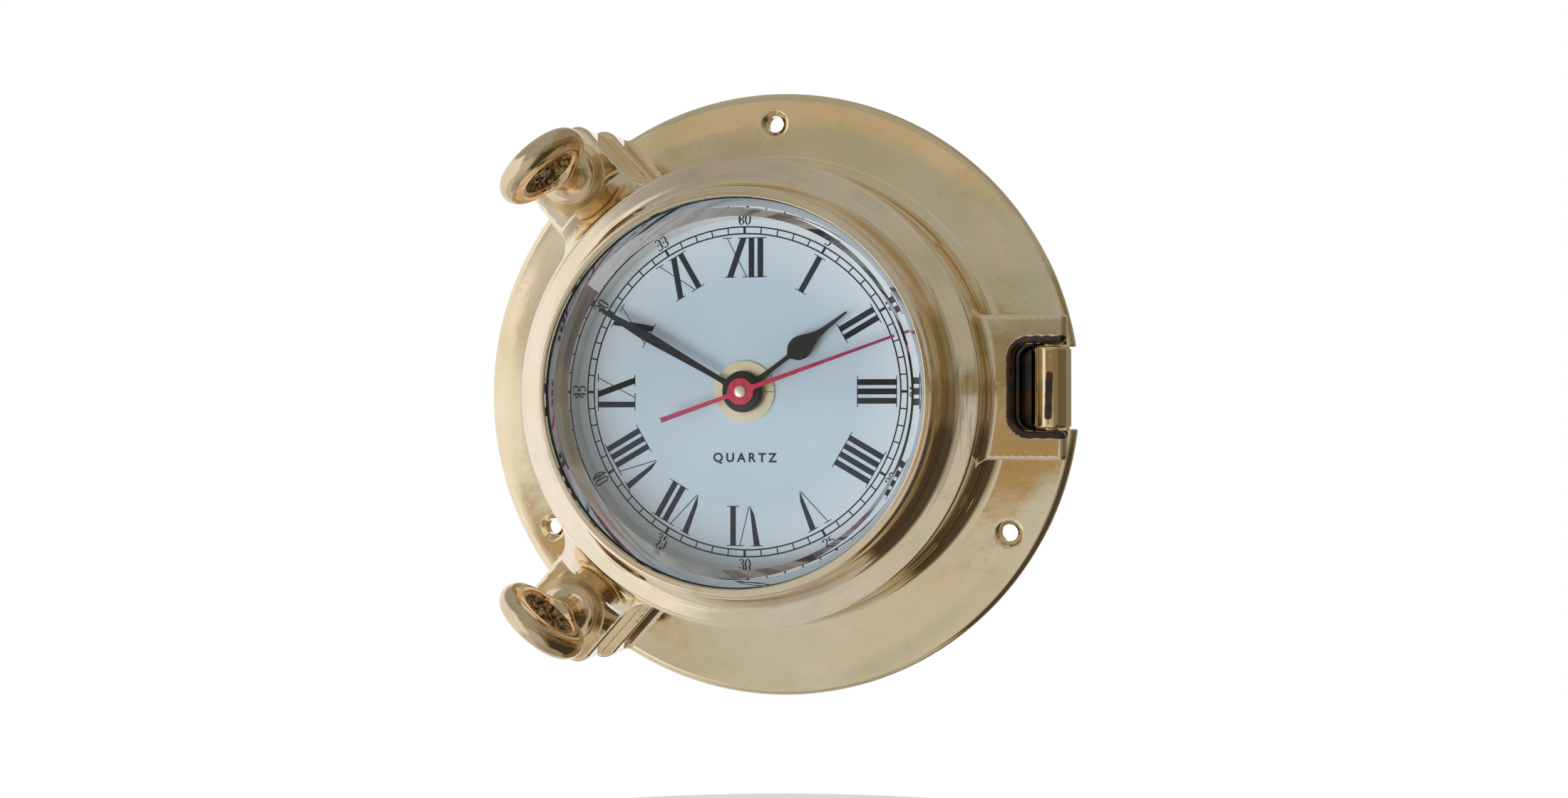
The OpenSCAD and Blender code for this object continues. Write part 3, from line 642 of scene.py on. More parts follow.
def ribbon(path, widths, low, high):
    """A closed strip of changing width along a path."""
    path = np.asarray(path, float)
    run = unit(np.gradient(path, axis=0))
    side = np.stack([-run[:, 1], run[:, 0]], axis=1) * np.asarray(widths)[:, None] / 2
    points, faces = [], []
    for left, right in zip(path + side, path - side):
        points.extend([(*right, low), (*left, low), (*left, high), (*right, high)])
    for i in range(0, len(points) - 4, 4):
        for j in range(4):
            k = (j + 1) % 4
            faces.append([i + 4 + j, i + 4 + k, i + k, i + j])
    last = len(points) - 4
    return points, faces + [[0, 1, 2, 3], [last + 3, last + 2, last + 1, last]]


# Roman numerals
BAR_W = 1.36
THIN_W = 0.22
SERIF_T = 0.2
POINT_H = 1.9
FOOT, HEAD = NUMERAL_R
LETTERS = {
    # advance to the next letter, width, thick strokes, thin strokes, serifs at the head, serifs at the foot
    "I": (2.15, 0.0, [(0, 0)], [], [(-1.5, 1.5)], [(-1.5, 1.5)]),
    "V": (5.75, 4.1, [(0, 1.75)], [(4.1, 1.9)], [(-1.35, 1.35), (3.1, 5.1)], []),
    "X": (5.85, 3.95, [(0, 3.25)], [(3.95, -0.8)], [(-1.35, 1.35), (2.9, 5.0)], [(1.9, 4.6), (-1.85, 0.25)]),
}
MIRRORED = {5: "V", 11: "X", 12: "X"}
NUMERALS = ["XII", "I", "II", "III", "IIII", "V", "VI", "VII", "VIII", "IX", "X", "XI"]


def numeral_strokes(text, flip):
    """(head x, foot x, width, kind) strokes and (from, to, radius) serifs of one numeral, centred on zero."""
    strokes, serifs, x = [], [], 0.0
    for i, letter in enumerate(text):
        advance, width, thick, thin, head, foot = LETTERS[letter]
        if letter == "I" and text[i + 1:i + 2] not in ("", "I"):
            advance = 2.45
        mirror = letter == flip

        def at(value):
            return x + (width - value if mirror else value)

        strokes += [(at(a), at(b), BAR_W * (1.1 if letter != "I" else 1.0), "thick") for a, b in thick]
        strokes += [(at(a), at(b), THIN_W, "thin") for a, b in thin]
        serifs += [(*sorted((at(a), at(b))), HEAD) for a, b in head]
        serifs += [(*sorted((at(a), at(b))), FOOT) for a, b in foot]
        x += advance
    shift = (min(a for a, _, _ in serifs) + max(b for _, b, _ in serifs)) / 2
    strokes = [(a - shift, b - shift, w, kind) for a, b, w, kind in strokes]
    return strokes, [(a - shift, b - shift, r) for a, b, r in serifs]


def print_numerals():
    parts = []
    for hour, text in enumerate(NUMERALS):
        angle = 30 * hour
        strokes, serifs = numeral_strokes(text, MIRRORED.get(hour or 12))
        for head, foot, width, kind in strokes:
            half = width / 2
            low = FOOT if head == foot or kind == "thin" or "X" in text else FOOT + POINT_H
            share = (low - HEAD) / (FOOT - HEAD)
            end = head + (foot - head) * share
            loop = [(head - half, HEAD), (head + half, HEAD), (end + half, low), (end - half, low)]
            if low != FOOT:
                loop.insert(3, (foot, FOOT - 0.35))
                loop[2] = (end + (half if foot < head else half * 0.2), low)
                loop[4] = (end - (half if foot > head else half * 0.2), low)
            top = INK_TOP - (0.004 if kind == "thin" else 0)
            parts.append(dial_block(angle, loop, top))
        for start, end, r in serifs:
            half = SERIF_T / 2
            loop = [(start, r - half), (start, r + half), (end, r + half), (end, r - half)]
            parts.append(dial_block(angle, loop, INK_TOP - 0.008))
    print_piece("roman_numerals", parts)


def print_track():
    parts = []
    for r in TRACK_R:
        low, high = r - TRACK_LINE / 2, r + TRACK_LINE / 2
        profile = [(low, INK_FOOT), (high, INK_FOOT), (high, INK_TOP - 0.004), (low, INK_TOP - 0.004)]
        parts.append(revolve(profile, 240, HUB))
    for minute in range(60):
        half, over = (0.15, 0.0) if minute % 5 else (0.31, 0.12)
        low, high = TRACK_R[0] - over, TRACK_R[1] + over
        loop = [(-half, low), (half, low), (half, high), (-half, high)]
        parts.append(dial_block(6 * minute, loop, INK_TOP))
    print_piece("minute_track", parts)


# Pen strokes of the small figures, in a box 60 wide and 100 high. Straight strokes have two points.
PEN = {
    "0": [[(30, 98), (12, 80), (7, 50), (12, 20), (30, 2), (48, 20), (53, 50), (48, 80), (30, 98)]],
    "1": [[(30, 98), (30, 2)], [(30, 96), (14, 86)], [(14, 3), (46, 3)]],
    "2": [[(10, 74), (16, 92), (33, 98), (50, 86), (50, 66), (34, 42), (14, 18), (8, 4)],
          [(8, 5), (52, 5)]],
    "3": [[(12, 80), (20, 95), (36, 97), (48, 84), (44, 64), (26, 54)],
          [(26, 54), (48, 44), (52, 22), (38, 4), (20, 3), (9, 18)]],
    "4": [[(40, 98), (5, 32)], [(5, 30), (58, 30)], [(42, 98), (42, 2)]],
    "5": [[(16, 95), (50, 95)], [(16, 95), (13, 55)],
          [(13, 53), (30, 63), (50, 50), (52, 24), (36, 3), (16, 4), (8, 16)]],
    "6": [[(46, 90), (32, 97), (14, 80), (8, 45), (14, 12), (30, 2), (48, 14), (50, 36), (36, 53),
           (20, 48), (10, 34)]],
}


def print_figures():
    parts = []
    for five in range(1, 13):
        text = str(5 * five)
        angle = 30 * five
        inward = 90 < angle < 255
        for place, digit in enumerate(text):
            shift = (place - len(text) / 2) * 0.66 + 0.03
            for order, stroke in enumerate(PEN[digit]):
                path = curve_through(stroke) if len(stroke) > 2 else np.linspace(stroke[0], stroke[1], 5)
                path /= 100
                upness = unit(np.gradient(path, axis=0))[:, 1]
                widths = (0.07 + 0.095 * upness ** 2) * FIGURE_SIZE
                across = (path[:, 0] + shift) * FIGURE_SIZE
                out = FIGURE_R + path[:, 1] * FIGURE_SIZE
                if inward:
                    across, out = -across, 2 * FIGURE_R + FIGURE_SIZE - out
                spots = on_dial(angle, zip(across, out))
                parts.append(ribbon(spots, widths, INK_FOOT, INK_TOP - 0.003 * order))
    print_piece("minute_figures", parts)


def print_word():
    """A plain word on the dial, in Blender's own font."""
    word = bpy.data.curves.new("word", "FONT")
    word.body = "QUARTZ"
    word.size = 2.95
    word.space_character = 1.45
    word.align_x = "CENTER"
    word.align_y = "CENTER"
    word.extrude = (INK_T + 0.02) / 2
    word.offset = 0.09
    holder = bpy.data.objects.new("word", word)
    mesh = bpy.data.meshes.new_from_object(holder)
    spots = np.array([v.co for v in mesh.vertices]) + (HUB.x, HUB.y - WORD_DROP, DIAL_H + (INK_T - 0.02) / 2)
    # Points closer than a thousandth of a millimetre become one
    _, kept, where = np.unique(spots.round(3), axis=0, return_index=True, return_inverse=True)
    rings = [list(dict.fromkeys(where.ravel()[list(p.vertices)].tolist())) for p in mesh.polygons]
    bpy.data.meshes.remove(mesh)
    bpy.data.objects.remove(holder)
    print_piece("dial_word", [(spots[kept], [ring for ring in rings if len(ring) > 2])])


def make_dial():
    profile = [(3.4, DIAL_H - 0.6), (DIAL_R, DIAL_H - 0.6), (DIAL_R, DIAL_H - 0.05), (DIAL_R - 0.05, DIAL_H),
               (3.45, DIAL_H), (3.4, DIAL_H - 0.05)]
    add_piece("dial_disc", revolve(profile, 192, HUB), "enamelled_dial", "door", "dial_plate", sharp=30)


def make_glass():
    low, high = GLASS_H
    profile = [(0, low), (GLASS_R - 0.15, low), (GLASS_R, low + 0.15), (GLASS_R, GLASS_EDGE_H - 0.1),
               (GLASS_R - 0.1, GLASS_EDGE_H), (BEVEL_R[1], GLASS_EDGE_H), (BEVEL_R[0], high), (0, high)]
    add_piece("bevelled_pane", revolve(profile, 360), "clear_glass", "door", "bevelled_glass", sharp=12)


def make_reflector():
    low = INK_TOP + 0.03
    top = GLASS_H[0] - 0.05
    wall, mouth, t = REFLECTOR_R, REFLECTOR_MOUTH_R, 0.6
    bend = top - (mouth - wall)
    profile = [(wall, bend), (wall, low), (wall + t, low), (wall + t, bend - 0.2), (mouth + 0.2, top - t),
               (GLASS_R, top - t), (GLASS_R, top), (mouth, top)]
    band = revolve(profile, 360)
    add_piece("reflector_band", band, "polished_reflector", "door", "reflector_ring", sharp=40)


# Half widths of the hands along their length, as (distance from the hub, half width)
HOUR_SHAPE = [(5.3, 0.66), (7.5, 0.56), (10.3, 0.5), (12.9, 0.5), (13.6, 0.62), (14.3, 1.35), (15.2, 2.25),
              (16.9, 2.72), (18.5, 2.4), (20.3, 1.6), (22.1, 0.95), (24.0, 0.62), (27.0, 0.45), (30.2, 0.3),
              (30.7, 0.18)]
MINUTE_SHAPE = [(5.2, 0.66), (7.0, 0.62), (11.0, 0.7), (18.0, 0.9), (24.0, 1.11), (27.0, 1.14), (30.0, 1.03),
                (33.0, 0.8), (36.5, 0.58), (39.4, 0.42), (39.8, 0.26)]
SECONDS_SHAPE = [(3.6, 0.56), (8.0, 0.52), (20.0, 0.42), (32.0, 0.34), (37.9, 0.3), (38.2, 0.18)]
SECONDS_TAIL = [(3.6, 0.46), (10.0, 0.5), (19.9, 0.58), (20.3, 0.42)]


def hand_outline(angle, boss_r, ahead, tail=()):
    """Outline of a hand with a round boss, pointing along a clock angle."""
    ahead = [(half, out) for out, half in curve_through(ahead, 6)]
    tail = [(half, out) for out, half in curve_through(tail, 6)] if tail else []
    reach = math.asin(ahead[0][0] * 1.5 / boss_r)
    loop = list(ahead) + [(-half, out) for half, out in reversed(ahead)]
    start, end = math.pi / 2 + reach, 5 * math.pi / 2 - reach
    stretches = [(start, end)]
    if tail:
        gap = math.asin(tail[0][0] * 1.5 / boss_r)
        stretches = [(start, 3 * math.pi / 2 - gap), (3 * math.pi / 2 + gap, end)]
    for i, stretch in enumerate(stretches):
        turns = np.linspace(*stretch, 48 // len(stretches))
        loop += [(boss_r * math.cos(t), boss_r * math.sin(t)) for t in turns]
        if tail and i == 0:
            loop += [(-half, -out) for half, out in tail] + [(half, -out) for half, out in reversed(tail)]
    return on_dial(angle, loop)


def ring_loop(r, count=48):
    turns = -np.arange(count) * 2 * math.pi / count
    return [(HUB.x + r * math.cos(t), HUB.y + r * math.sin(t)) for t in turns]


def make_hands():
    shapes = (("hour", HOUR_ANGLE, 4.85, HOUR_SHAPE, 2.6), ("minute", MINUTE_ANGLE, 4.3, MINUTE_SHAPE, 1.75))
    for name, angle, boss_r, shape, bore_r in shapes:
        outline = hand_outline(angle, boss_r, shape)
        pointer = plate([outline, ring_loop(bore_r)], *heights(name + "_hand"), 0.1)
        add_piece(name + "_pointer", pointer, "dark_hand", name, name + "_hand", sharp=20)
    low, high = SECONDS_H, SECONDS_H + SECONDS_T
    pointer = plate([hand_outline(SECONDS_ANGLE, 3.1, SECONDS_SHAPE, SECONDS_TAIL)], low, high, 0.07)
    tube = [(0, low - 0.28), (1.5, low - 0.28), (1.5, low + 0.05), (0, low + 0.05)]
    pointer = merged([pointer, revolve(tube, 32, HUB)])
    add_piece("seconds_pointer", pointer, "red_hand", "seconds", "seconds_hand", sharp=20)
    cap = [(0, -0.1), (1.35, -0.1), (1.35, 0.3), (1.2, 0.42), (0.7, 0.5), (0, 0.52)]
    cap = revolve([(r, high + h) for r, h in cap], 40, HUB)
    add_piece("centre_cap", cap, "pale_brass", "seconds", sharp=50)


# ---------- materials ----------

class Finish:
    """One node material, built in small steps. Lengths are in millimetres."""

    def __init__(self):
        self.material = bpy.data.materials.new("finish")
        self.material.use_nodes = True
        self.tree = self.material.node_tree
        self.tree.nodes.clear()
        metres = self.add("TexCoord", output="Object")
        self.place = self.add("VectorMath", {0: metres, "Scale": 1000.0}, operation="SCALE")

    def add(self, kind, inputs=None, output=0, **settings):
        node = self.tree.nodes.new("ShaderNode" + kind)
        for key, value in settings.items():
            setattr(node, key, value)
        for key, value in (inputs or {}).items():
            if isinstance(value, bpy.types.NodeSocket):
                self.tree.links.new(value, node.inputs[key])
            else:
                node.inputs[key].default_value = value
        return node.outputs[output] if node.outputs else None

    def maths(self, operation, a, b=0.0):
        return self.add("Math", {0: a, 1: b}, operation=operation)

    def plus(self, a, b):
        return self.maths("ADD", a, b)

    def times(self, a, b):
        return self.maths("MULTIPLY", a, b)

    def split(self, vector):
        """The x, y and z of a vector."""
        return self.add("SeparateXYZ", {0: vector}).node.outputs

    def noise(self, size, detail=2.0, stretch=(1, 1, 1), place=None):
        """Soft noise from 0 to 1, with features about this size."""
        scale = [s / size for s in stretch]
        spot = self.add("VectorMath", {0: place or self.place, 1: scale}, operation="MULTIPLY")
        return self.add("TexNoise", {"Vector": spot, "Scale": 1.0, "Detail": detail, "Roughness": 0.55})

    def remap(self, value, low, high, to_low=0.0, to_high=1.0):
        return self.add("MapRange", {0: value, 1: low, 2: high, 3: to_low, 4: to_high})

    def patches(self, size, detail, low, high, to_low=0.0, to_high=1.0):
        """Noise that rises from to_low to to_high between these levels."""
        return self.remap(self.noise(size, detail), low, high, to_low, to_high)

    def mix(self, share, a, b):
        """Blends two colours."""
        colours = {0: share}
        for key, colour in ((6, a), (7, b)):
            colours[key] = colour if isinstance(colour, bpy.types.NodeSocket) else (*colour, 1.0)
        return self.add("Mix", colours, output=2, data_type="RGBA")

    def bump(self, height, depth, under=None):
        """Raises the surface by depth where height is 1."""
        inputs = {"Height": height, "Distance": depth * MM}
        if under is not None:
            inputs["Normal"] = under
        return self.add("Bump", inputs)

    def polar(self):
        """Place as distance from the clock's axis, angle times ten, and depth."""
        x, depth, up = self.split(self.place)
        r = self.maths("SQRT", self.plus(self.times(x, x), self.times(up, up)))
        angle = self.times(self.maths("ARCTAN2", x, up), 10.0)
        return self.add("CombineXYZ", {0: r, 1: angle, 2: depth})

    def shader(self, **inputs):
        return self.add("BsdfPrincipled", {key.replace("_", " "): value for key, value in inputs.items()})

    def close(self, shader):
        self.add("OutputMaterial", {"Surface": shader})
        return self.material

    def surface(self, **inputs):
        return self.close(self.shader(**inputs))


def brass(bright, dull, shine=(0.035, 0.10), wave=0.05, cast=False, hinge=False):
    """Hand-polished brass: cloudy colour, wavy surface, turning marks, fine scratches and casting pits.

    cast adds the rough dark skin in the knobs' dishes; hinge adds painted shade in the hinge slot and window,
    a painted dark reflection on the knuckle, and the scuffs by the hinge.
    """
    f = Finish()
    clouds = f.patches(26, 3, 0.35, 0.7)
    colour = f.mix(clouds, bright, dull)
    grime = f.patches(5, 5, 0.58, 0.78, 0, 0.35)
    colour = f.mix(grime, colour, [c * 0.62 for c in dull])
    edge = f.remap(f.add("NewGeometry", output=7), 0.52, 0.6)
    colour = f.mix(f.times(edge, 0.4), colour, bright)
    rough = f.patches(9, 4, 0.3, 0.72, *shine)
    normal = f.bump(f.noise(5.5, 2), wave * 0.22, f.bump(f.noise(13, 1), wave))
    turning = f.noise(0.32, 1, (1, 0.06, 0.05), f.polar())
    scratches = f.noise(0.5, 2, (1, 0.2, 0.06))
    pits = f.patches(0.9, 2, 0.24, 0.36)
    normal = f.bump(pits, 0.004, f.bump(scratches, 0.0006, f.bump(turning, 0.0012, normal)))
    if cast:
        dish = f.add("Attribute", output=2, attribute_name="cast_skin")
        ragged = f.remap(f.plus(dish, f.times(f.noise(1.6, 4), 0.5)), 0.6, 0.95)
        skin = f.mix(f.patches(1.3, 5, 0.42, 0.6), (0.035, 0.025, 0.02), (0.50, 0.34, 0.17))
        colour = f.mix(ragged, colour, skin)
        rough = f.plus(rough, f.times(ragged, 0.18))
        normal = f.bump(f.times(f.noise(1.5, 5), ragged), 0.9, normal)
    if hinge:
        # Painted shade and a painted dark reflection by the hinge, where the points' mark says
        hinge_shade_and_reflection = f.add("Attribute", output=2, attribute_name="hinge_shade_and_reflection")
        painted_dark_share = f.remap(f.plus(hinge_shade_and_reflection, f.times(f.noise(2.2, 4), 0.5)), 0.55, 0.85)
        dark = f.mix(f.patches(3.0, 3, 0.4, 0.65), (0.05, 0.06, 0.08), (0.16, 0.08, 0.03))
        colour = f.mix(painted_dark_share, colour, dark)
        rough = f.plus(rough, f.times(painted_dark_share, 0.12))
        x, _, up = f.split(f.place)
        across = f.times(f.remap(x, 48.5, 50.5), f.remap(x, 54.6, 53.2))
        along = f.times(f.remap(up, -19, -8), f.remap(up, 9, 4))
        streak = f.remap(f.noise(0.4, 3, (1, 0.2, 0.05)), 0.46, 0.58)
        scuff = f.times(f.times(across, along), streak)
        colour = f.mix(f.times(scuff, 0.36), colour, (0.14, 0.12, 0.09))
    return f.surface(Base_Color=colour, Metallic=1.0, Roughness=rough, Normal=normal)


def moulded(colour, second, size=6.0, shine=(0.35, 0.5), grain=0.02, metal=0.0, stretch=(1, 1, 1), **more):
    """A plain finish: two close colours, uneven gloss and a fine surface grain."""
    f = Finish()
    tone = f.mix(f.patches(size, 4, 0.3, 0.7), colour, second)
    specks = f.remap(f.noise(0.7, 3, stretch), 0.62, 0.75, 0, 0.25)
    tone = f.mix(specks, tone, [c * 0.55 for c in second])
    rough = f.remap(f.noise(size * 0.4, 4, stretch), 0.3, 0.7, *shine)
    normal = f.bump(f.noise(0.45, 3, stretch), grain)
    normal = f.bump(f.noise(size, 2), grain * 2, normal)
    return f.surface(Base_Color=tone, Metallic=metal, Roughness=rough, Normal=normal, **more)


def striped(colour, second, pitch, axis, shine, metal, depth):
    """Fine parallel ridges, for windings and stacked sheet."""
    f = Finish()
    wave = f.add("TexWave", {"Vector": f.place, "Scale": 0.31416 / pitch, "Distortion": 0.15, "Detail": 1.0},
                 output=1, bands_direction=axis)
    tone = f.mix(wave, second, colour)
    tone = f.mix(f.patches(2.5, 4, 0.45, 0.8, 0, 0.4), tone, [c * 0.6 for c in second])
    rough = f.patches(1.5, 3, 0.3, 0.7, *shine)
    return f.surface(Base_Color=tone, Metallic=metal, Roughness=rough, Normal=f.bump(wave, depth))


def clear_glass():
    """Float glass with a few faint smears. It lets the light through to the dial."""
    f = Finish()
    smear = f.patches(18, 5, 0.5, 0.85, 0.0, 0.004)
    normal = f.bump(f.noise(40, 1), 0.004)
    glass = f.shader(Base_Color=(0.985, 0.995, 0.995, 1), Roughness=smear, IOR=1.5, Normal=normal,
                     Transmission_Weight=1.0, Specular_IOR_Level=0.22)
    clear = f.add("BsdfTransparent", {"Color": (0.93, 0.95, 0.95, 1)})
    shadow = f.add("LightPath", output=1)
    return f.close(f.add("MixShader", {0: shadow, 1: glass, 2: clear}))


def enamel():
    """Pale blue-white dial enamel with a faint orange peel, and painted light that whitens it towards its
    edge.
    """
    f = Finish()
    r = f.split(f.polar())[0]
    tone = f.mix(f.patches(24, 3, 0.3, 0.7), DIAL_COLOUR, [c * 0.95 for c in DIAL_COLOUR])
    # Painted light: the enamel whitens towards the reflector's wall, standing in for the light the wall
    # throws onto the dial
    tone = f.mix(f.remap(r, 26, 41), tone, DIAL_PAINTED_LIGHT_EDGE)
    tone = f.mix(f.patches(0.8, 3, 0.62, 0.8, 0, 0.2), tone, (0.42, 0.48, 0.53))
    normal = f.bump(f.noise(1.6, 2), 0.006)
    rough = f.patches(7, 3, 0.3, 0.7, 0.3, 0.42)
    return f.surface(Base_Color=tone, Roughness=rough, Normal=normal, Coat_Weight=0.1, Coat_Roughness=0.2)


def ink():
    f = Finish()
    tone = f.mix(f.patches(0.6, 4, 0.35, 0.7), (0.004, 0.010, 0.022), (0.008, 0.017, 0.034))
    rough = f.patches(2, 3, 0.3, 0.7, 0.3, 0.5)
    normal = f.bump(f.noise(0.3, 3), 0.008)
    return f.surface(Base_Color=tone, Specular_IOR_Level=0.1, Roughness=rough, Normal=normal)


def reflector():
    """Spun aluminium: bright, with fine rings from the lathe."""
    f = Finish()
    polar = f.polar()
    rings = f.noise(0.5, 2, (1.0, 0.01, 0.3), polar)
    tone = f.mix(f.patches(14, 3, 0.3, 0.7), (0.78, 0.73, 0.70), (0.68, 0.63, 0.60))
    flange = f.remap(f.split(polar)[0], REFLECTOR_MOUTH_R - 0.1, REFLECTOR_MOUTH_R)
    tone = f.mix(flange, tone, f.mix(rings, (0.42, 0.33, 0.23), (0.52, 0.43, 0.31)))
    rough = f.patches(6, 4, 0.3, 0.7, 0.01, 0.03)
    rough = f.plus(rough, f.times(flange, 0.2))
    normal = f.bump(rings, 0.0002, f.bump(f.noise(25, 1), 0.003))
    return f.surface(Base_Color=tone, Metallic=1.0, Roughness=rough, Normal=normal)


def battery_sleeve():
    """A printed sleeve with a bright band at one end and steel showing at both ends."""
    f = Finish()
    up = f.split(f.place)[2]
    low, high = extent("battery_cell")
    body = f.mix(f.patches(8, 3, 0.3, 0.7), (0.02, 0.05, 0.11), (0.03, 0.075, 0.15))
    band = f.remap(up, high.y - 14.2, high.y - 14.0)
    tone = f.mix(band, body, f.mix(f.noise(4, 3), (0.62, 0.30, 0.10), (0.72, 0.38, 0.14)))
    steel = f.plus(f.remap(up, high.y - 2.6, high.y - 2.5), f.remap(up, low.y + 0.7, low.y + 0.6))
    tone = f.mix(steel, tone, (0.55, 0.55, 0.54))
    rough = f.patches(3, 4, 0.3, 0.7, 0.2, 0.36)
    return f.surface(Base_Color=tone, Metallic=steel, Roughness=rough, Normal=f.bump(f.noise(0.9, 3), 0.01))


def board():
    """Green solder mask over copper tracks."""
    f = Finish()
    layout = {"Vector": f.place, "Scale": 0.45, "Randomness": 0.6}
    track = f.remap(f.add("TexVoronoi", layout, feature="DISTANCE_TO_EDGE"), 0.10, 0.05)
    tone = f.mix(track, f.mix(f.noise(6, 3), (0.012, 0.075, 0.03), (0.018, 0.095, 0.04)), (0.06, 0.2, 0.07))
    pads = f.remap(f.add("TexVoronoi", layout), 0.16, 0.13)
    tone = f.mix(pads, tone, (0.6, 0.6, 0.57))
    return f.surface(Base_Color=tone, Metallic=pads, Roughness=f.remap(pads, 0, 1, 0.28, 0.35),
                     Normal=f.bump(f.plus(track, pads), 0.04))


def hand_paint(near, far, start, end, shine):
    """Satin paint that shifts from the hub outwards."""
    f = Finish()
    away = f.add("VectorMath", {0: f.place, 1: (HUB.x, 0.0, HUB.y)}, operation="SUBTRACT")
    away = f.add("VectorMath", {0: away, 1: (1, 0, 1)}, operation="MULTIPLY")
    reach = f.remap(f.add("VectorMath", {0: away}, output=1, operation="LENGTH"), start, end)
    tone = f.mix(reach, near, far)
    tone = f.mix(f.patches(1.8, 4, 0.5, 0.85, 0, 0.5), tone, [c * 0.5 for c in far])
    rough = f.patches(2.5, 4, 0.3, 0.7, *shine)
    normal = f.bump(f.noise(0.35, 3, (1, 1, 0.2)), 0.012)
    return f.surface(Base_Color=tone, Roughness=rough, Normal=normal, Specular_IOR_Level=0.3)


def floor_paint():
    f = Finish()
    tone = f.mix(f.noise(60, 3), (0.80, 0.80, 0.80), (0.86, 0.86, 0.86))
    rough = f.patches(12, 3, 0.3, 0.7, 0.6, 0.75)
    return f.surface(Base_Color=tone, Roughness=rough, Normal=f.bump(f.noise(2, 3), 0.05))


DIAL_COLOUR = (0.62, 0.755, 0.88)
# Painted light at the dial's edge
DIAL_PAINTED_LIGHT_EDGE = (0.80, 0.88, 0.94)
finishes = {
    "polished_brass": brass((0.95, 0.80, 0.58), (0.86, 0.70, 0.45), wave=0.07, hinge=True),
    "door_brass": brass((0.95, 0.81, 0.63), (0.88, 0.72, 0.50), wave=0.045, hinge=True),
    "knob_brass": brass((0.86, 0.69, 0.48), (0.70, 0.52, 0.32), (0.07, 0.2), 0.09, cast=True),
    "pin_brass": brass((0.88, 0.72, 0.46), (0.74, 0.57, 0.33), (0.14, 0.26), 0.02),
    "pale_brass": brass((0.90, 0.82, 0.62), (0.80, 0.70, 0.48), (0.28, 0.42), 0.01),
    "black_rubber": moulded((0.012, 0.012, 0.013), (0.028, 0.027, 0.026), 4, (0.55, 0.8), 0.05),
    "clear_glass": clear_glass(),
    "polished_reflector": reflector(),
    "enamelled_dial": enamel(),
    "printing_ink": ink(),
    "zinc_steel": moulded((0.58, 0.59, 0.6), (0.45, 0.45, 0.44), 5, (0.22, 0.4), 0.008, 1.0, (1, 0.3, 0.3)),
    "black_plastic": moulded((0.014, 0.014, 0.016), (0.024, 0.024, 0.026), 12, (0.38, 0.55), 0.03),
    "battery_sleeve": battery_sleeve(),
    "plated_contact": moulded((0.72, 0.70, 0.66), (0.6, 0.58, 0.53), 3, (0.16, 0.3), 0.006, 1.0, (1, 1, 0.2)),
    "green_board": board(),
    "black_resin": moulded((0.008, 0.008, 0.009), (0.016, 0.016, 0.016), 3, (0.12, 0.3), 0.05),
    "natural_plastic": moulded((0.74, 0.73, 0.68), (0.66, 0.64, 0.57), 5, (0.28, 0.42), 0.012,
                               Subsurface_Weight=0.2, Subsurface_Radius=(0.002, 0.002, 0.0015)),
    "copper_wire": striped((0.86, 0.38, 0.17), (0.42, 0.14, 0.05), 0.25, "X", (0.18, 0.3), 0.9, 0.06),
    "stator_iron": striped((0.42, 0.42, 0.44), (0.2, 0.2, 0.21), 0.3, "Y", (0.3, 0.5), 1.0, 0.03),
    "rotor_magnet": moulded((0.16, 0.16, 0.17), (0.09, 0.09, 0.10), 1.5, (0.4, 0.6), 0.03, 1.0),
    "dark_hand": hand_paint((0.008, 0.012, 0.018), (0.008, 0.017, 0.030), 4, 30, (0.28, 0.42)),
    "red_hand": hand_paint((0.62, 0.035, 0.09), (0.34, 0.03, 0.13), 4, 30, (0.22, 0.34)),
    "studio_floor": floor_paint(),
}
for name, material in finishes.items():
    material.name = name

for part in frame["record"]["subparts"]:
    skins = frame["nodes"][part["node"]].data.materials
    skins.clear()
    skins.append(finishes[part["material_slot"]])

make_flange()
make_door()
for side in DOGS:
    make_knob(side)
make_glass()
make_reflector()
make_dial()
print_numerals()
print_track()
print_figures()
print_word()
make_hands()


# ---------- floor, light and camera ----------

# Sizes of the scene in metres, angles in degrees
FLOOR_Z = -0.135
FLOOR_R = 0.18
LAMP_PLACE = (-0.45, -0.75, -0.35)
LAMP_SIZE = 0.5
LAMP_POWER = 2.2
CAMERA_PLACE = (0.11176, -0.46978, -0.00378)
CAMERA_TURN = (90.31, 0.0, 13.23)
CAMERA_LENS = 44.15

edge = [(0, -0.008), (FLOOR_R, -0.008), (FLOOR_R, -0.003), (0.97 * FLOOR_R, 0), (0.5 * FLOOR_R, 0), (0, 0)]
floor = mesh_object("floor", *revolve(edge, 96), finishes["studio_floor"])
floor.location.z = FLOOR_Z
floor.visible_glossy = False

world = bpy.data.worlds.new("studio")
world.use_nodes = True
scene.world = world


class Sky(Finish):
    """World light, painted as soft cards over azimuth and elevation in degrees.

    Azimuth 0 is straight ahead of the clock and grows to its right.
    """

    def __init__(self, tree):
        self.tree = tree
        tree.nodes.clear()
        ray = self.add("TexCoord", output="Generated")
        self.place = self.add("VectorMath", {0: ray, "Scale": 100.0}, operation="SCALE")
        x, y, z = self.split(ray)
        self.azimuth = self.maths("DEGREES", self.maths("ARCTAN2", x, self.times(y, -1.0)))
        self.elevation = self.maths("DEGREES", self.maths("ARCSINE", z))

    def step(self, angle, low, high):
        return self.add("MapRange", {0: angle, 1: low, 2: high}, interpolation_type="SMOOTHSTEP")

    def window(self, angle, low, high, soft):
        """1 between two angles, with soft edges."""
        rise = self.step(angle, low - soft, low + soft)
        return self.times(rise, self.step(angle, high + soft, high - soft))

    def card(self, under, colour, azimuth, elevation, soft):
        across = self.window(self.azimuth, *azimuth, soft)
        return self.mix(self.times(across, self.window(self.elevation, *elevation, soft)), under, colour)


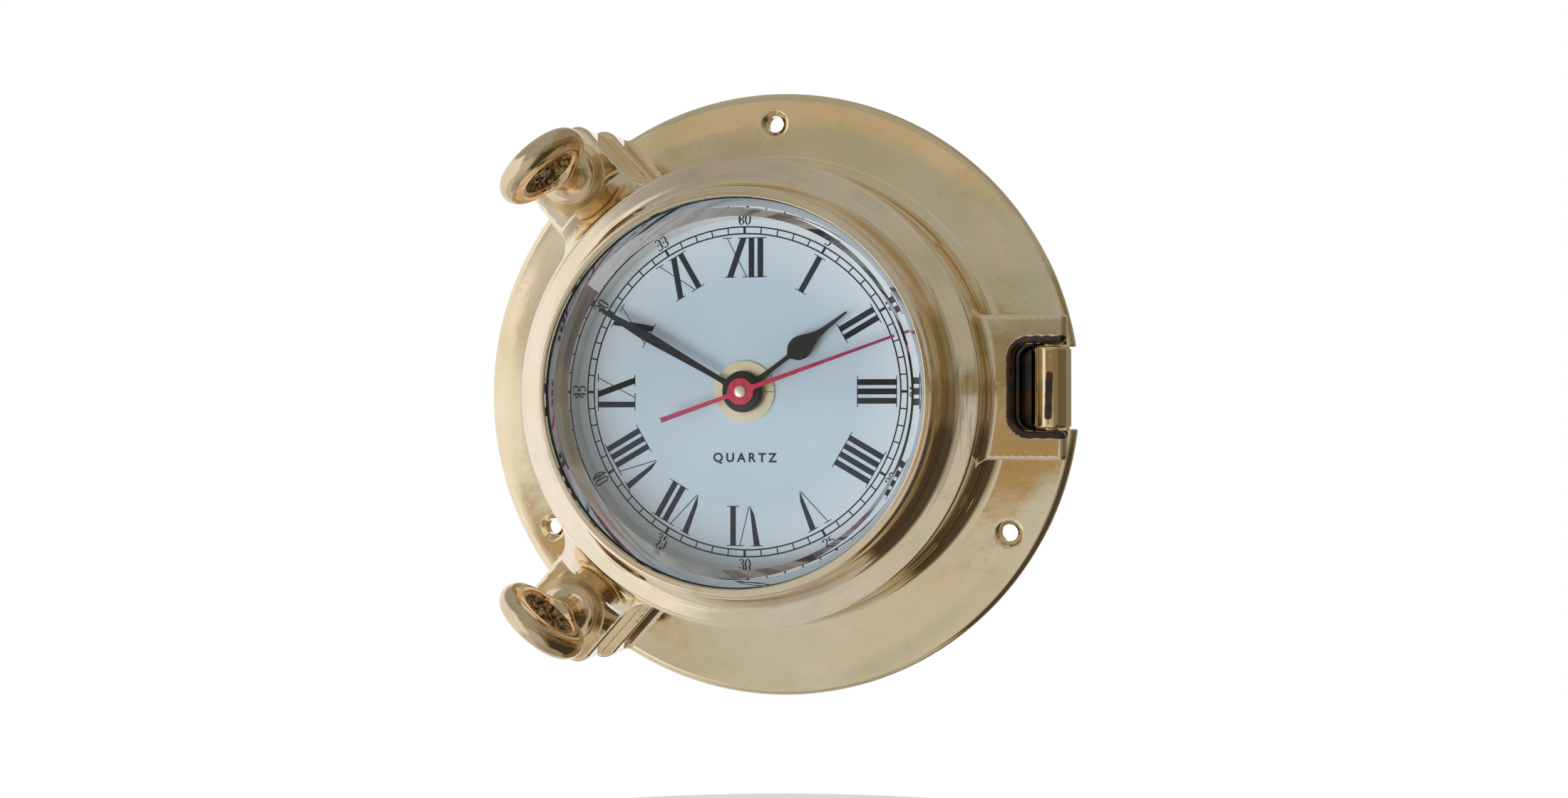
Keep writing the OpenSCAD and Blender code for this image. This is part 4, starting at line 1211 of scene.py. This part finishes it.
sky = Sky(world.node_tree)
below = sky.mix(sky.remap(sky.elevation, -85, -50), (0.36, 0.36, 0.38), (0.57, 0.575, 0.60))
seen = sky.mix(sky.window(sky.elevation, 0.5, 200, 1.5), below, (0.40, 0.41, 0.405))
CARDS = [
    # colour, azimuth, elevation, softness
    ((0.37, 0.38, 0.41), (-62, -12), (14, 60), 3.0),
    ((0.94, 0.95, 1.05), (-230, -21), (-32, 7), 2.5),
    ((0.92, 0.95, 1.08), (-230, -30), (-40, 30), 3),
    ((0.66, 0.69, 0.76), (-230, -45), (-62, -38), 4.0),
    ((0.51, 0.50, 0.50), (-23, -17.5), (-16, -3.5), 1.5),
    ((0.60, 0.61, 0.65), (-24, -18.3), (1.5, 9), 1),
    ((0.33, 0.345, 0.31), (-18.3, -13), (1.0, 9), 1.2),
    ((0.50, 0.45, 0.37), (-27, 2), (9, 15.5), 1.2),
    ((0.40, 0.40, 0.42), (15, 34), (-18, 60), 2),
    ((0.25, 0.21, 0.14), (32, 240), (-62, 7), 2),
    ((0.31, 0.29, 0.24), (36, 240), (7, 30), 5.0),
    ((0.15, 0.125, 0.09), (58, 135), (-34, 6), 4.0),
    ((0.20, 0.18, 0.12), (62, 135), (5, 28), 5.0),
    ((0.34, 0.31, 0.285), (62, 200), (32, 70), 6.0),
    ((0.06, 0.05, 0.045), (72, 118), (-60, -26), 3.0),
    ((0.24, 0.19, 0.11), (-19, 62), (0.3, 2.6), 0.5),
    ((0.37, 0.27, 0.14), (-10, 4), (-3.2, 0.2), 1),
    ((0.46, 0.35, 0.23), (-25, -17), (-8, -3.5), 1.5),
    ((0.07, 0.06, 0.05), (46, 140), (-60, -10), 3),
]
for colour, azimuth, elevation, soft in CARDS:
    seen = sky.card(seen, colour, azimuth, elevation, soft)
hue = sky.mix(sky.patches(9, 3, 0.35, 0.65), (0.88, 0.94, 0.84), (1.10, 1.03, 0.98))
seen = sky.add("Mix", {0: 1.0, 6: seen, 7: hue}, output=2, data_type="RGBA", blend_type="MULTIPLY")
even = sky.mix(sky.window(sky.azimuth, -80, 10, 25), (0.84, 0.86, 0.90), (1.05, 1.06, 1.08))
path = sky.add("LightPath").node.outputs
light = sky.mix(path["Is Diffuse Ray"], seen, even)
light = sky.mix(path["Is Camera Ray"], light, (1.0, 1.0, 1.0))
sky.add("OutputWorld", {"Surface": sky.add("Background", {"Color": light, "Strength": 1.0})})

lamp = bpy.data.lights.new("key", "AREA")
lamp.shape = "DISK"
lamp.size = LAMP_SIZE
lamp.energy = LAMP_POWER
key = bpy.data.objects.new("key", lamp)
key.location = LAMP_PLACE
key.rotation_euler = (-Vector(LAMP_PLACE)).to_track_quat("-Z", "Y").to_euler()
key.visible_glossy = False
scene.collection.objects.link(key)

eye = bpy.data.cameras.new("camera")
eye.lens = CAMERA_LENS
eye.sensor_width = 36.0
eye.clip_start = 0.01
camera = bpy.data.objects.new("camera", eye)
camera.location = CAMERA_PLACE
camera.rotation_euler = np.radians(CAMERA_TURN)
scene.collection.objects.link(camera)
scene.camera = camera
scene.view_settings.view_transform = "Standard"
